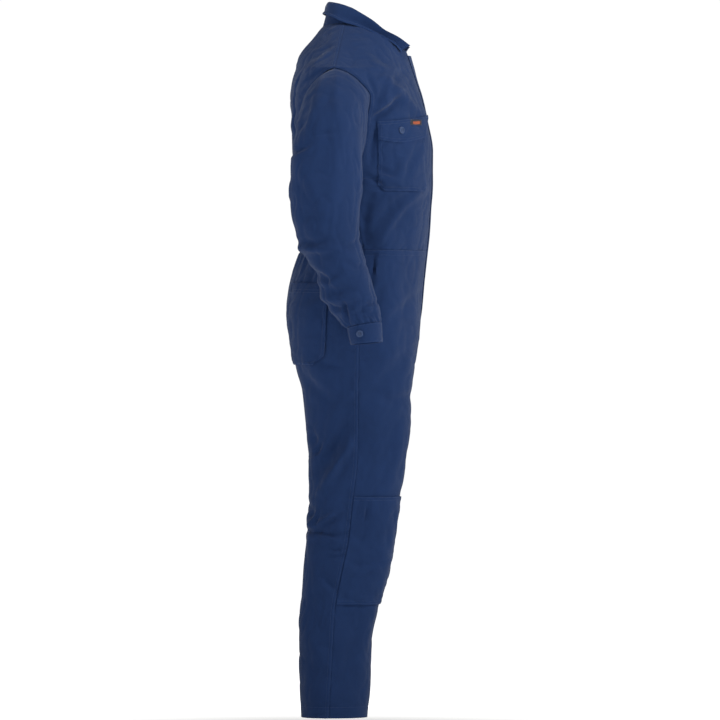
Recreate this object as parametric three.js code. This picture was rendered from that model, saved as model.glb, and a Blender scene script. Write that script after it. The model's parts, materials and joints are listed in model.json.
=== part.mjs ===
import * as THREE from "three";

// Boiler suit standing as if worn, hollow, arms at the sides. Sizes are in millimetres.
// Tables give out = distance from the centre plane, y = front to back (front is negative)
// and height = above the trouser hem. The last step moves everything down by SHOULDER_HEIGHT,
// so that the origin is where a wearer's shoulders hold the garment up.

// Main sizes
const SHOULDER_HEIGHT = 1465;
const WAIST_HEIGHT = 1019;
const UNDERARM_HEIGHT = 1172;
const CROTCH_HEIGHT = 775;
const TIP_HEIGHT = 1413;
const TIP_OUT = 236;
const TIP_Y = 11;
const NECK_POINT_HEIGHT = 1516;
const NECK_POINT_OUT = 75;
const NECK_POINT_Y = -11;

// Cloth walls and the gap between sewn pieces
const CLOTH = 1.6;
const DOUBLE_CLOTH = 2.4;
const PATCH_CLOTH = 1.2;
const GAP = 0.3;
const HALF_GAP = GAP / 2;
const ARMHOLE_GAP = GAP + HALF_GAP;

// Mesh fineness
const FRONT_COLUMNS = 13;
const BACK_COLUMNS = 16;
const ARMHOLE_TURNS = 9;
const SLEEVE_COLUMNS = 2 * ARMHOLE_TURNS;
const LEG_FRONT_COLUMNS = 10;
const LEG_BACK_COLUMNS = 16;

// Upper body sections: half width, front and back reach, widest line and how square each side is
const TORSO_COLUMNS = "height halfWidth front back ridge frontPower backPower";
const TORSO_ROWS = [
  [1019, 203, -190.5, 84, -52, 2.2, 2.3],
  [1063, 206, -195, 86, -42, 2.25, 2.5],
  [1106, 210, -197.5, 89, -32, 2.3, 2.8],
  [1172, 216, -201.5, 95, -15, 2.45, 3.2],
  [1237, 221, -201.5, 99, -8, 2.5, 3.6],
  [1303, 228, -190.5, 101, 0, 2.4, 3.4],
  [1357, 234, -178.5, 105, 6, 2.05, 2.8],
  [1390, 238, -168.5, 102, 9, 1.75, 2.3],
  [1413, 236, -162.5, 98, 11, 1.55, 2.0],
  [1447, 183, -153.5, 86, 4, 1.5, 1.9],
  [1475, 139, -148, 69, -2, 1.5, 1.85],
  [1499, 102, -144, 50, -7, 1.5, 1.9],
  [1516, 75, -140, 34, -11, 1.5, 2.0],
];

// Armhole seam, from the underarm to the shoulder tip, on the front and on the back
const ARMHOLE_COLUMNS = "height out y";
const ARMHOLE_FRONT_ROWS = [
  [1172, 216, -15],
  [1179, 214, -36],
  [1195, 212, -52],
  [1235, 212, -66],
  [1290, 215, -71],
  [1340, 218, -66],
  [1385, 225, -42],
  [1404, 231, -18],
  [1413, 236, 11],
];
const ARMHOLE_BACK_ROWS = [
  [1172, 216, -15],
  [1178, 215, 8],
  [1192, 213, 34],
  [1235, 210, 67],
  [1290, 211, 77],
  [1345, 219, 70],
  [1388, 229, 48],
  [1405, 233, 30],
  [1413, 236, 11],
];

// Cut rows of the upper fronts, then of the back: where each row starts at the front edge,
// neckline or centre back, and where it ends: a height on the side seam, or a turn round the
// armhole from the underarm (0) to the shoulder tip (ARMHOLE_TURNS)
const FRONT_ROWS = [
  { startOut: 0, startHeight: 1019.15, endHeight: 1019.15 },
  { startOut: 0, startHeight: 1040, endHeight: 1040 },
  { startOut: 0, startHeight: 1066, endHeight: 1066 },
  { startOut: 0, startHeight: 1098, endHeight: 1098 },
  { startOut: 0, startHeight: 1135, endHeight: 1135 },
  { startOut: 0, startHeight: 1172, endTurn: 0 },
  { startOut: 0, startHeight: 1195, endTurn: 1 },
  { startOut: 0, startHeight: 1226, endTurn: 2 },
  { startOut: 0, startHeight: 1260, endTurn: 3 },
  { startOut: 0, startHeight: 1300, endTurn: 4 },
  { startOut: 0, startHeight: 1334, endTurn: 5 },
  { startOut: 0, startHeight: 1362, endTurn: 6 },
  { startOut: 8, startHeight: 1390, endTurn: 6.5 },
  { startOut: 15, startHeight: 1416, endTurn: 7 },
  { startOut: 21, startHeight: 1438, endTurn: 7.5 },
  { startOut: 26, startHeight: 1456, endTurn: 8 },
  { startOut: 46, startHeight: 1466, endTurn: 8.25 },
  { startOut: 61, startHeight: 1483, endTurn: 8.5 },
  { startOut: 70, startHeight: 1500, endTurn: 8.75 },
  { startOut: 75, startHeight: 1516, endTurn: 9 },
];
const BACK_ROWS = [
  { startHeight: 1019.15, endHeight: 1019.15, lift: 0 },
  { startHeight: 1040, endHeight: 1040, lift: 0 },
  { startHeight: 1066, endHeight: 1066, lift: 0 },
  { startHeight: 1098, endHeight: 1098, lift: 0 },
  { startHeight: 1135, endHeight: 1135, lift: 0 },
  { startHeight: 1172, endTurn: 0, lift: 0 },
  { startHeight: 1206, endTurn: 1, lift: 0 },
  { startHeight: 1242, endTurn: 2, lift: 0.02 },
  { startHeight: 1282, endTurn: 3, lift: 0.06 },
  { startHeight: 1322, endTurn: 4, lift: 0.14 },
  { startHeight: 1360, endTurn: 5, lift: 0.26 },
  { startHeight: 1396, endTurn: 6, lift: 0.42 },
  { startHeight: 1430, endTurn: 7, lift: 0.6 },
  { startHeight: 1460, endTurn: 7.6, lift: 0.76 },
  { startHeight: 1488, endTurn: 8, lift: 0.89 },
  { startHeight: 1512, endTurn: 9, lift: 1 },
];

// Sleeve sections from the armhole to the wrist: the underarm point, the top point, and the
// front and back reach with their heights; cup draws front and back towards the body
const SLEEVE_TABLE_COLUMNS = "step inOut inHeight topOut topHeight front frontHeight back backHeight cup";
const SLEEVE_ROWS = [
  [0, 216, 1172, 236, 1413, -71, 1290, 77, 1290, -12],
  [1, 221, 1161, 272, 1400, -73, 1290, 90, 1281, -6],
  [2, 225, 1152, 304, 1376, -66, 1276, 97, 1268, 0],
  [3, 228, 1144, 329, 1341, -57, 1253, 100, 1249, 0],
  [4, 231, 1135, 346, 1295, -52, 1222, 101, 1222, 0],
  [5, 233, 1123, 357, 1240, -50, 1188, 105, 1190, 0],
  [6, 234, 1105, 363, 1175, -48, 1150, 109, 1150, 0],
  [7, 235, 1075, 366, 1112, -43, 1105, 104, 1103, 0],
  [8, 235, 1038, 366, 1060, -42, 1062, 96, 1060, 0],
  [9, 235, 1003, 362, 1017, -49, 1017, 87, 1018, 0],
  [10, 235, 974, 357, 982, -58, 982, 60, 982, 0],
  [11, 236, 945, 351, 950, -66, 950, 48, 950, 0],
  [12, 238, 915, 344, 918, -75, 918, 41, 918, 0],
  [13, 240, 888, 336, 892, -84, 894, 24, 888, 0],
  [14, 243, 866, 330, 872, -88, 875, 3, 864, 0],
  [15, 245, 852, 327, 857, -89, 861, -15, 848, 0],
];
const SLEEVE_POWER = 2.1;
const SLEEVE_MATCH = [1, 0.42, 0.1];
const SLEEVE_BACK_SEAM_COLUMN = 12;
const SLEEVE_FRONT_SEAM_COLUMN = 7;

// Cuff: a band round the wrist, its over end lapping the under end behind the button
const CUFF_TABLE_COLUMNS = "inOut inHeight outOut outHeight front frontHeight back backHeight";
const CUFF_TABLE = [
  [245, 851, 327, 856.4, -89, 860, -15, 847],
  [244, 833, 328, 837, -91, 839, -18, 830],
  [245, 813, 327, 816, -91, 818, -23, 812],
];
const CUFF_COLUMNS = 22;
const CUFF_START_TURN = 0.82;
const CUFF_LAP_TURN = 0.18;
const CUFF_LAP_RISE = DOUBLE_CLOTH + 0.7;
const CUFF_STEP_FROM = 0.7;
const CUFF_STEP_SPAN = 0.13;

// Leg sections: centre, reach to the outer and inner side, side seam line, front and back reach
const LEG_TABLE_COLUMNS = "height centre outer inner side front back";
const LEG_ROWS = [
  [0, 112, 75, 75, 24, -59, 84],
  [60, 111, 73, 73, 21, -65, 88],
  [146, 110, 70, 70, 16, -71, 89],
  [233, 108, 68, 68, 11, -82, 87],
  [300, 107, 67, 67, 0, -99, 81],
  [386, 107, 66, 66, -18, -116, 73],
  [473, 107, 67, 67, -28, -129, 68],
  [560, 105, 73, 73, -38, -143, 67],
  [648, 103, 88, 84, -40, -153, 75],
  [713, 100, 102, 91, -40, -157, 83],
  [757, 95, 112, 92.5, -41, -163, 97],
  [775, 92, 118, 92, -41, -166, 101],
  [790, 88, 126, 95, -41, -168, 103],
  [830, 70, 152, 104, -42, -172, 110],
  [877, 45, 181, 130, -43, -177, 119],
  [930, 20, 200, 170, -46, -181, 114],
  [975, 8, 204, 195, -49, -185.5, 103],
  [1019, 0, 203, 203, -52, -190.5, 84],
];
const LEG_POWER = 2.2;
const LEG_LEAST_CENTRE = 12;
const LEG_HEIGHTS = [
  0, 50, 105, 170, 247, 275, 312, 355, 400, 442, 482, 525, 570, 620, 675, 722, 757,
  775, 777.5, 783, 792, 806, 824, 848, 880, 912, 946, 975, 998, 1018.85,
];

// Largest folds, as lines in the side view; depth is out of the cloth when positive
const FOLD_RUN_OUT = 0.2;
const FOLD_END_EASE = 0.25;
const FOLD_COLUMNS = "piece fromY fromHeight toY toHeight width depth";
const FOLD_ROWS = [
  ["front", -127, 1351, -66, 1300, 11, -6],
  ["front", -96, 1384, -190, 1290, 15, 4],
  ["front", -92, 1342, -76, 1255, 13, -5],
  ["front", -95, 1330, -132, 1335, 12, -3],
  ["front", -104, 1160, -148, 1142, 13, -3],
  ["front", -150, 1292, -66, 1205, 16, -3],
  ["front", -150, 1140, -78, 1078, 17, -3],
  ["front", -110, 1120, -70, 1040, 14, 3],
  ["back", 11, 1456, 94, 1380, 15, -4],
  ["back", 33, 1402, 94, 1350, 14, -4],
  ["back", 60, 1360, 98, 1312, 15, 3],
  ["back", 90, 1180, 58, 1095, 18, -3],
  ["sleeve", 100, 1250, 60, 1365, 13, -3],
  ["sleeve", 106, 1230, 65, 1218, 11, -5],
  ["sleeve", 110, 1160, 40, 1098, 17, -3],
  ["sleeve", 88, 1022, 8, 1040, 14, -5],
  ["sleeve", 75, 998, 0, 975, 13, 4],
  ["sleeve", 52, 960, -32, 988, 14, -5],
  ["sleeve", 46, 925, -62, 955, 12, 4],
  ["sleeve", 36, 900, -76, 905, 11, -4],
  ["sleeve", -66, 1340, -20, 1200, 16, -3],
  ["leg", -20, 589, 33, 506, 20, 4],
  ["leg", 34, 640, 10, 575, 19, -5],
  ["leg", 63, 572, 22, 585, 12, -4],
  ["leg", 60, 625, 38, 590, 12, -3],
  ["leg", 56, 430, 20, 405, 14, 3],
  ["leg", 44, 402, -26, 408, 12, -5],
  ["leg", 24, 372, -4, 358, 10, -3],
  ["leg", 36, 300, 10, 262, 14, -3],
  ["leg", -150, 800, -60, 700, 22, -4],
  ["leg", 92, 770, 20, 690, 20, -4],
  ["leg", 80, 190, 20, 140, 20, 3],
  ["leg", -50, 200, 0, 90, 20, -2.5],
];

// Elastic gathers at the back of the waist and the pleats that let the back move
const GATHER_DEPTH = 2.6;
const GATHER_REACH = 82;
const GATHER_RISE = 12;
const GATHER_AT_SEAM = 0.25;
const PLEAT_OUT = 149;
const PLEAT_STEP = 5;
const PLEAT_LOW = 1165;
const PLEAT_HIGH = 1420;
const PLEAT_LOW_FADE = 50;
const PLEAT_HIGH_FADE = 45;
const PLEAT_INNER_FADE = { from: -60, over: 180 };

// How far from an edge the folds die out: in columns or rows of the piece, or in millimetres
const SHAPE_FROM = 0.45;
const SIDE_FADE_COLUMNS = 2.5;
const TOP_FADE_ROWS = 3;
const WAIST_FADE = 40;
const FLAP_FADE = 40;
const HEM_FADE = 60;
const LEG_WAIST_FADE = 30;
const CROTCH_FADE_COLUMNS = 3;
const SLEEVE_ENDS_FADE = { fromRow: 0.5, overRows: 2, wristRows: 1.5 };

// Row of the fronts where the neckline starts, and column of the back where it meets the shoulder
const NECK_ROW = 15;
const NECK_COLUMN = 4;

// Collar: the turned edge at the top and the free edge of the fall, from centre back to front
const COLLAR_TABLE_COLUMNS = "turn rollOut rollY rollHeight edgeOut edgeY edgeHeight";
const COLLAR_ROWS = [
  [0, 0, 24, 1560, 0, 41, 1531],
  [0.14, 30, 20, 1559, 39, 35, 1529],
  [0.3, 52, 2, 1555.5, 72, 10, 1522],
  [0.42, 60, -22, 1550.5, 88, -12, 1516],
  [0.52, 63, -45, 1539, 95, -32, 1512],
  [0.64, 60, -72, 1522, 97, -60, 1501],
  [0.76, 54, -100, 1500, 94, -88, 1487],
  [0.88, 43, -129, 1483, 87, -116, 1471],
  [1, 29, -152, 1465.5, 80, -130, 1454],
];
const COLLAR_AXIS_Y = -55;
const COLLAR_CLOTH = 2;
const STAND_INSET = 2.6;
const STAND_DROP = 1.5;
const STAND_ROWS = 2;
const FALL_ROWS = 4;
const FALL_CURVE = 4;

// Storm flap over the front opening, sewn to the left front
const FLAP_HEIGHTS = [
  846, 880, 912, 946, 975, 998, 1019, 1040, 1066, 1098, 1135, 1172, 1195, 1226, 1260, 1300, 1334,
  1362, 1390, 1416, 1438, 1447,
];
const FLAP_SEWN_SIDE = 30;
const FLAP_FREE_SIDE = -28;
const FLAP_BEND = 17;
const FLAP_LIFT = 0.85;
const FLAP_LOW_LIFT = 2.4;
const FLAP_LOW_UP_TO = 925;

// Chest pocket and its flap, in rows and columns of the upper front
const CHEST_COLUMN_FROM = 4;
const CHEST_COLUMN_TO = 10.9;
const CHEST_ROW_LOW = 4;
const CHEST_ROW_HIGH = 9;
const CHEST_CORNER_CUT = 0.28;
const CHEST_FLAP_ROW_COUNT = 4;
const CHEST_FLAP_TOP_ROW = 9.6;
const CHEST_FLAP_LOW_ROWS = [[4, 8.53], [7.5, 8.42], [10.9, 8.66]];
const CHEST_FLAP_WIDER = 0.08;
const CHEST_POCKET_LIFT = GAP + HALF_GAP + PATCH_CLOTH;
const CHEST_FLAP_LIFT = 5 * GAP + PATCH_CLOTH + CLOTH;
const CHEST_FLAP_TOP_LIFT = 4 * GAP + CLOTH;
const CHEST_BUTTON = { y: -134, height: 1279, row: 9 };
const TAG = { fromY: -155, toY: -177, lowHeight: 1291, highHeight: 1303, row: 9.3 };
const TAG_DEPTH = 0.9;

// Rear pocket on the back of the leg, and knee pocket on the front
const REAR_POCKET = {
  lowHeight: 769, highHeight: 946, middleColumn: 6, lift: 0.8,
  topColumn: 4.1, bottomColumn: 2.75, topWidth: 7.6, bottomWidth: 6.9,
  cut: 0.8, cutShare: 0.1, leastSpacing: 0.12,
};
const KNEE_LOW_HEIGHT = 247;
const KNEE_HIGH_HEIGHT = 482;

const BUTTON_RADIUS = 7.5;
const BUTTON_DEPTH = 2.6;
const BUTTON_RIM = 0.72;
const BUTTON_DISH_FLOOR = 0.65;
const BUTTON_DISH = 0.8;
const BUTTON_SIDES = 12;
const BUTTON_GLOSS = 0.4;
const CLOTH_GLOSS = 0.85;
const CUFF_BUTTON = { turn: 0.955, row: 1 };

const NAVY = 0x27385c;
const BUTTON_BLUE = 0x22304f;
const TAG_ORANGE = 0xc4471c;

const clamp = (value, low, high) => Math.min(high, Math.max(low, value));
const mix = (from, to, share) => from + (to - from) * share;
const ease = (share) => {
  const t = clamp(share, 0, 1);
  return t * t * (3 - 2 * t);
};

// A smooth line through the rows of a table that never swings past them
function curveThrough(xs, ys) {
  const last = xs.length - 1;
  const steps = [];
  for (let i = 0; i < last; i += 1) {
    steps.push((ys[i + 1] - ys[i]) / (xs[i + 1] - xs[i]));
  }
  const slopeAt = (i) => {
    if (i === 0 || i === last) return steps[Math.min(i, last - 1)];
    const product = steps[i - 1] * steps[i];
    return product <= 0 ? 0 : (2 * product) / (steps[i - 1] + steps[i]);
  };
  return (x) => {
    const at = clamp(x, xs[0], xs[last]);
    let i = 0;
    while (i < last - 1 && at > xs[i + 1]) i += 1;
    const span = xs[i + 1] - xs[i];
    const t = (at - xs[i]) / span;
    const rise = t * t * (3 - 2 * t);
    const lead = t * (1 - t) * (1 - t) * slopeAt(i) * span;
    const tail = t * t * (t - 1) * slopeAt(i + 1) * span;
    return mix(ys[i], ys[i + 1], rise) + lead + tail;
  };
}

function namedRows(columns, rows) {
  const names = columns.split(" ");
  return rows.map((row) => Object.fromEntries(names.map((name, i) => [name, row[i]])));
}

function readTable(columns, rows) {
  const names = columns.split(" ");
  const firsts = rows.map((row) => row[0]);
  const lines = names.map((name, i) => curveThrough(firsts, rows.map((row) => row[i])));
  return (x) => Object.fromEntries(names.map((name, i) => [name, lines[i](x)]));
}

const folds = namedRows(FOLD_COLUMNS, FOLD_ROWS);
const cuffRows = namedRows(CUFF_TABLE_COLUMNS, CUFF_TABLE);
const torsoTable = readTable(TORSO_COLUMNS, TORSO_ROWS);
const armholeFront = readTable(ARMHOLE_COLUMNS, ARMHOLE_FRONT_ROWS);
const armholeBack = readTable(ARMHOLE_COLUMNS, ARMHOLE_BACK_ROWS);
const legTable = readTable(LEG_TABLE_COLUMNS, LEG_ROWS);
const sleeveTable = readTable(SLEEVE_TABLE_COLUMNS, SLEEVE_ROWS);
const collarTable = readTable(COLLAR_TABLE_COLUMNS, COLLAR_ROWS);

const bulge = (share, power) => Math.pow(Math.max(0, 1 - Math.pow(share, power)), 1 / power);
const squared = (value, power) => Math.sign(value) * Math.pow(Math.abs(value), 2 / power);

function torsoHalfWidth(height) {
  if (height < TIP_HEIGHT) return torsoTable(height).halfWidth;
  return mix(TIP_OUT, NECK_POINT_OUT, (height - TIP_HEIGHT) / (NECK_POINT_HEIGHT - TIP_HEIGHT));
}

// The widest line runs on as the shoulder seam, straight from the tip to the neck point
function torsoRidge(height) {
  if (height < TIP_HEIGHT) return torsoTable(height).ridge;
  const fall = (height - TIP_HEIGHT) / (NECK_POINT_HEIGHT - TIP_HEIGHT);
  return mix(TIP_Y, NECK_POINT_Y, fall);
}

function torsoY(out, height, isFront) {
  const section = torsoTable(height);
  const ridge = torsoRidge(height);
  const share = Math.min(Math.abs(out) / torsoHalfWidth(height), 1);
  const reach = isFront ? section.front : section.back;
  const power = isFront ? section.frontPower : section.backPower;
  return ridge + (reach - ridge) * bulge(share, power);
}

// How far the folds of one piece move a point, by its place in the side view
function foldDepth(piece, y, height) {
  let depth = 0;
  for (const fold of folds) {
    if (fold.piece !== piece) continue;
    const alongY = fold.toY - fold.fromY;
    const alongHeight = fold.toHeight - fold.fromHeight;
    const awayY = y - fold.fromY;
    const awayHeight = height - fold.fromHeight;
    const share = (awayY * alongY + awayHeight * alongHeight) / (alongY ** 2 + alongHeight ** 2);
    const near = clamp(share, 0, 1);
    const off = Math.hypot(awayY - near * alongY, awayHeight - near * alongHeight);
    const start = ease((share + FOLD_RUN_OUT) / FOLD_END_EASE);
    const end = ease((1 + FOLD_RUN_OUT - share) / FOLD_END_EASE);
    depth += fold.depth * Math.exp(-((off / fold.width) ** 2)) * start * end;
  }
  return depth;
}

const point = (out, y, height) => new THREE.Vector3(out, y, height);

// Outward directions on a grid of points; wrap joins the last column to the first
function gridNormals(grid, inside, wrap = false) {
  const rows = grid.length;
  const columns = grid[0].length;
  const nextColumn = (c) => (wrap ? (c + 1) % columns : Math.min(c + 1, columns - 1));
  const lastColumn = (c) => (wrap ? (c + columns - 1) % columns : Math.max(c - 1, 0));
  return grid.map((row, r) => row.map((at, c) => {
    const across = row[nextColumn(c)].clone().sub(row[lastColumn(c)]);
    const up = grid[Math.min(r + 1, rows - 1)][c].clone().sub(grid[Math.max(r - 1, 0)][c]);
    const normal = across.cross(up).normalize();
    const outward = at.clone().sub(inside(at));
    return normal.dot(outward) < 0 ? normal.negate() : normal;
  }));
}

function dropAxis(normal, axis) {
  normal[axis] = 0;
  normal.normalize();
}

// A closed wall from outer points and the directions in which they face
function wall(grid, normals, thickness, lift = 0, wrap = false) {
  const rows = grid.length;
  const columns = grid[0].length;
  const positions = [];
  const addLayer = (offset) => grid.forEach((row, r) => row.forEach((at, c) => {
    const moved = at.clone().addScaledVector(normals[r][c], offset(r, c));
    positions.push(moved.x, moved.y, moved.z);
  }));
  const liftAt = typeof lift === "function" ? lift : () => lift;
  addLayer((r, c) => liftAt(r, c));
  addLayer((r, c) => liftAt(r, c) - thickness);
  const layer = rows * columns;
  const id = (r, c, inner) => r * columns + (c % columns) + (inner ? layer : 0);
  const faces = [];
  const quad = (a, b, c, d) => faces.push([a, b, c], [a, c, d]);
  const lastColumn = wrap ? columns : columns - 1;
  for (let r = 0; r < rows - 1; r += 1) {
    for (let c = 0; c < lastColumn; c += 1) {
      quad(id(r, c), id(r, c + 1), id(r + 1, c + 1), id(r + 1, c));
      faces.push([id(r, c, 1), id(r + 1, c + 1, 1), id(r, c + 1, 1)]);
      faces.push([id(r, c, 1), id(r + 1, c, 1), id(r + 1, c + 1, 1)]);
    }
    if (!wrap) {
      const end = columns - 1;
      quad(id(r, 0, 1), id(r, 0), id(r + 1, 0), id(r + 1, 0, 1));
      quad(id(r, end), id(r, end, 1), id(r + 1, end, 1), id(r + 1, end));
    }
  }
  for (let c = 0; c < lastColumn; c += 1) {
    const end = rows - 1;
    quad(id(0, c, 1), id(0, c + 1, 1), id(0, c + 1), id(0, c));
    quad(id(end, c), id(end, c + 1), id(end, c + 1, 1), id(end, c, 1));
  }
  return { positions, faces };
}

function signedVolume(positions, faces) {
  const at = (i) => new THREE.Vector3().fromArray(positions, 3 * i);
  return faces.reduce((sum, [a, b, c]) => sum + at(a).dot(at(b).cross(at(c))), 0);
}

const suit = new THREE.Group();
suit.name = "boiler_suit";

// Adds a solid as a named piece; side is -1 for the wearer's right, +1 for the left
function addPiece(name, solid, side, colour = NAVY, roughness = CLOTH_GLOSS) {
  const positions = solid.positions.map((value, i) => {
    if (i % 3 === 0) return side * value;
    return i % 3 === 2 ? value - SHOULDER_HEIGHT : value;
  });
  const outward = signedVolume(positions, solid.faces) > 0;
  const order = solid.faces.flatMap(([a, b, c]) => (outward ? [a, b, c] : [a, c, b]));
  const geometry = new THREE.BufferGeometry();
  geometry.setAttribute("position", new THREE.Float32BufferAttribute(positions, 3));
  geometry.setIndex(order);
  geometry.computeVertexNormals();
  const material = new THREE.MeshStandardMaterial({ color: colour, roughness, metalness: 0 });
  const mesh = new THREE.Mesh(geometry, material);
  mesh.name = name;
  suit.add(mesh);
}

const SIDES = [
  { side: -1, label: "right" },
  { side: 1, label: "left" },
];

// Torso panels
const torsoInside = (at) => point(0, COLLAR_AXIS_Y, Math.min(at.z, UNDERARM_HEIGHT + 120));

function armholePoint(turn, isFront) {
  const table = isFront ? armholeFront : armholeBack;
  const corner = (k) => {
    const rise = (1 - Math.cos((Math.PI * k) / ARMHOLE_TURNS)) / 2;
    const at = table(mix(UNDERARM_HEIGHT, TIP_HEIGHT, rise));
    return point(at.out, at.y, at.height);
  };
  const low = Math.floor(turn);
  return corner(low).lerp(corner(Math.min(low + 1, ARMHOLE_TURNS)), turn - low);
}

// Where a cut row ends, and how far that lies in front of or behind the plain section
function rowEnd(row, isFront) {
  if (row.endTurn === undefined) {
    const height = row.endHeight;
    return { at: point(torsoHalfWidth(height), torsoRidge(height), height), miss: 0, onSeam: true };
  }
  const at = armholePoint(row.endTurn, isFront);
  return { at, miss: at.y - torsoY(at.x, at.z, isFront), onSeam: row.endTurn === 0 };
}

const shapeEase = (share) => ease((share - SHAPE_FROM) / (1 - SHAPE_FROM));

function torsoPanel(rows, columns, isFront) {
  const seamShift = isFront ? -HALF_GAP : HALF_GAP;
  const lastRow = rows.length - 1;
  return rows.map((row, r) => {
    const end = rowEnd(row, isFront);
    return Array.from({ length: columns + 1 }, (unused, c) => {
      const share = Math.sin((c / columns) * Math.PI / 2);
      const out = mix(row.startOut, end.at.x, share);
      const height = mix(row.startHeight, end.at.z, share);
      const y = torsoY(out, height, isFront) + end.miss * shapeEase(share);
      const atSeam = r === lastRow || (c === columns && end.onSeam);
      return point(out, y + (atSeam ? seamShift : 0), height);
    });
  });
}

function foldTorso(grid, normals, piece, columns) {
  const lastRow = grid.length - 1;
  grid.forEach((row, r) => row.forEach((at, c) => {
    const fromSide = ease((columns - c) / SIDE_FADE_COLUMNS);
    const fromWaist = ease((at.z - WAIST_HEIGHT) / WAIST_FADE);
    const fromTop = ease((lastRow - r) / TOP_FADE_ROWS);
    const fromFlap = piece === "front" ? ease((at.x - FLAP_SEWN_SIDE) / FLAP_FADE) : 1;
    const depth = foldDepth(piece, at.y, at.z) * fromSide * fromWaist * fromTop * fromFlap;
    at.addScaledVector(normals[r][c], depth);
  }));
}

function settleTorsoEdges(normals, rows, columns) {
  const lastRow = normals.length - 1;
  normals.forEach((row, r) => {
    if (!rows[r].endTurn) dropAxis(row[columns], "y");
    if (rows[r].startOut === 0) dropAxis(row[0], "x");
  });
  normals[0].forEach((normal) => dropAxis(normal, "z"));
  normals[lastRow].forEach((normal) => dropAxis(normal, "y"));
}

const frontGrid = torsoPanel(FRONT_ROWS, FRONT_COLUMNS, true);
let frontNormals = gridNormals(frontGrid, torsoInside);
settleTorsoEdges(frontNormals, FRONT_ROWS, FRONT_COLUMNS);
foldTorso(frontGrid, frontNormals, "front", FRONT_COLUMNS);
frontNormals = gridNormals(frontGrid, torsoInside);
settleTorsoEdges(frontNormals, FRONT_ROWS, FRONT_COLUMNS);
frontGrid.forEach((row) => row.forEach((at) => { at.x += HALF_GAP; }));
for (const { side, label } of SIDES) {
  addPiece(`upper_front_${label}`, wall(frontGrid, frontNormals, CLOTH), side);
}

// Back: one piece from armhole to armhole, with two pleats and gathers above the waist
const NECK_SHARE = NECK_POINT_OUT / TIP_OUT;

function backShare(column) {
  if (column <= NECK_COLUMN) return (NECK_SHARE * column) / NECK_COLUMN;
  const rest = (column - NECK_COLUMN) / (BACK_COLUMNS - NECK_COLUMN);
  return mix(NECK_SHARE, 1, Math.sin((rest * Math.PI) / 2));
}

function backTopHeight(out) {
  if (out > NECK_POINT_OUT) {
    const slope = (TIP_HEIGHT - NECK_POINT_HEIGHT) / (TIP_OUT - NECK_POINT_OUT);
    return NECK_POINT_HEIGHT + (out - NECK_POINT_OUT) * slope;
  }
  const start = BACK_ROWS[BACK_ROWS.length - 1].startHeight;
  return mix(start, NECK_POINT_HEIGHT, (out / NECK_POINT_OUT) ** 2);
}

function backPanel() {
  const lastRow = BACK_ROWS.length - 1;
  const top = BACK_ROWS[lastRow];
  return BACK_ROWS.map((row, r) => {
    const end = rowEnd(row, false);
    return Array.from({ length: BACK_COLUMNS + 1 }, (unused, c) => {
      const share = backShare(c);
      const rise = backTopHeight(share * TIP_OUT) - mix(top.startHeight, TIP_HEIGHT, share);
      const height = mix(row.startHeight, end.at.z, share) + rise * row.lift;
      const out = end.at.x * share;
      const y = torsoY(out, height, false) + end.miss * shapeEase(share);
      const onShoulder = r === lastRow && c >= NECK_COLUMN;
      const atSeam = onShoulder || (c === BACK_COLUMNS && end.onSeam);
      return point(out, y + (atSeam ? HALF_GAP : 0), height);
    });
  });
}

const gatherFade = (distance) => (
  ease(distance / GATHER_RISE + GATHER_AT_SEAM) * (1 - ease(distance / GATHER_REACH))
);

function shapeBack(grid, normals) {
  grid.forEach((row, r) => row.forEach((at, c) => {
    const edge = ease((BACK_COLUMNS - c) / SIDE_FADE_COLUMNS);
    const wave = c % 2 === 0 ? 1 : -1;
    const gather = wave * GATHER_DEPTH * gatherFade(at.z - WAIST_HEIGHT) * edge;
    const low = ease((at.z - PLEAT_LOW) / PLEAT_LOW_FADE);
    const high = ease((PLEAT_HIGH - at.z) / PLEAT_HIGH_FADE);
    const inner = ease((at.x - PLEAT_INNER_FADE.from) / PLEAT_INNER_FADE.over);
    const pleat = at.x < PLEAT_OUT ? PLEAT_STEP * low * high * inner : 0;
    at.addScaledVector(normals[r][c], gather + pleat);
  }));
}

const backHalf = backPanel();
const backHalfNormals = gridNormals(backHalf, torsoInside);
foldTorso(backHalf, backHalfNormals, "back", BACK_COLUMNS);
shapeBack(backHalf, backHalfNormals);
const mirrored = (at) => point(-at.x, at.y, at.z);
const backGrid = backHalf.map((row) => [...row.slice(1).reverse().map(mirrored), ...row]);
backGrid.forEach((row) => { row[BACK_COLUMNS].x = 0; });
const backNormals = gridNormals(backGrid, torsoInside);
backNormals.forEach((row, r) => {
  if (BACK_ROWS[r].endTurn) return;
  dropAxis(row[0], "y");
  dropAxis(row[2 * BACK_COLUMNS], "y");
});
backNormals[0].forEach((normal) => dropAxis(normal, "z"));
backNormals[BACK_ROWS.length - 1].forEach((normal, c) => {
  if (Math.abs(c - BACK_COLUMNS) >= NECK_COLUMN) dropAxis(normal, "y");
});
addPiece("upper_back", wall(backGrid, backNormals, CLOTH), 1);

// Sleeves: a whole tube is worked out, then cut at its back and front seams into two pieces
const SLEEVE_HALF = SLEEVE_COLUMNS / 2;

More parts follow.
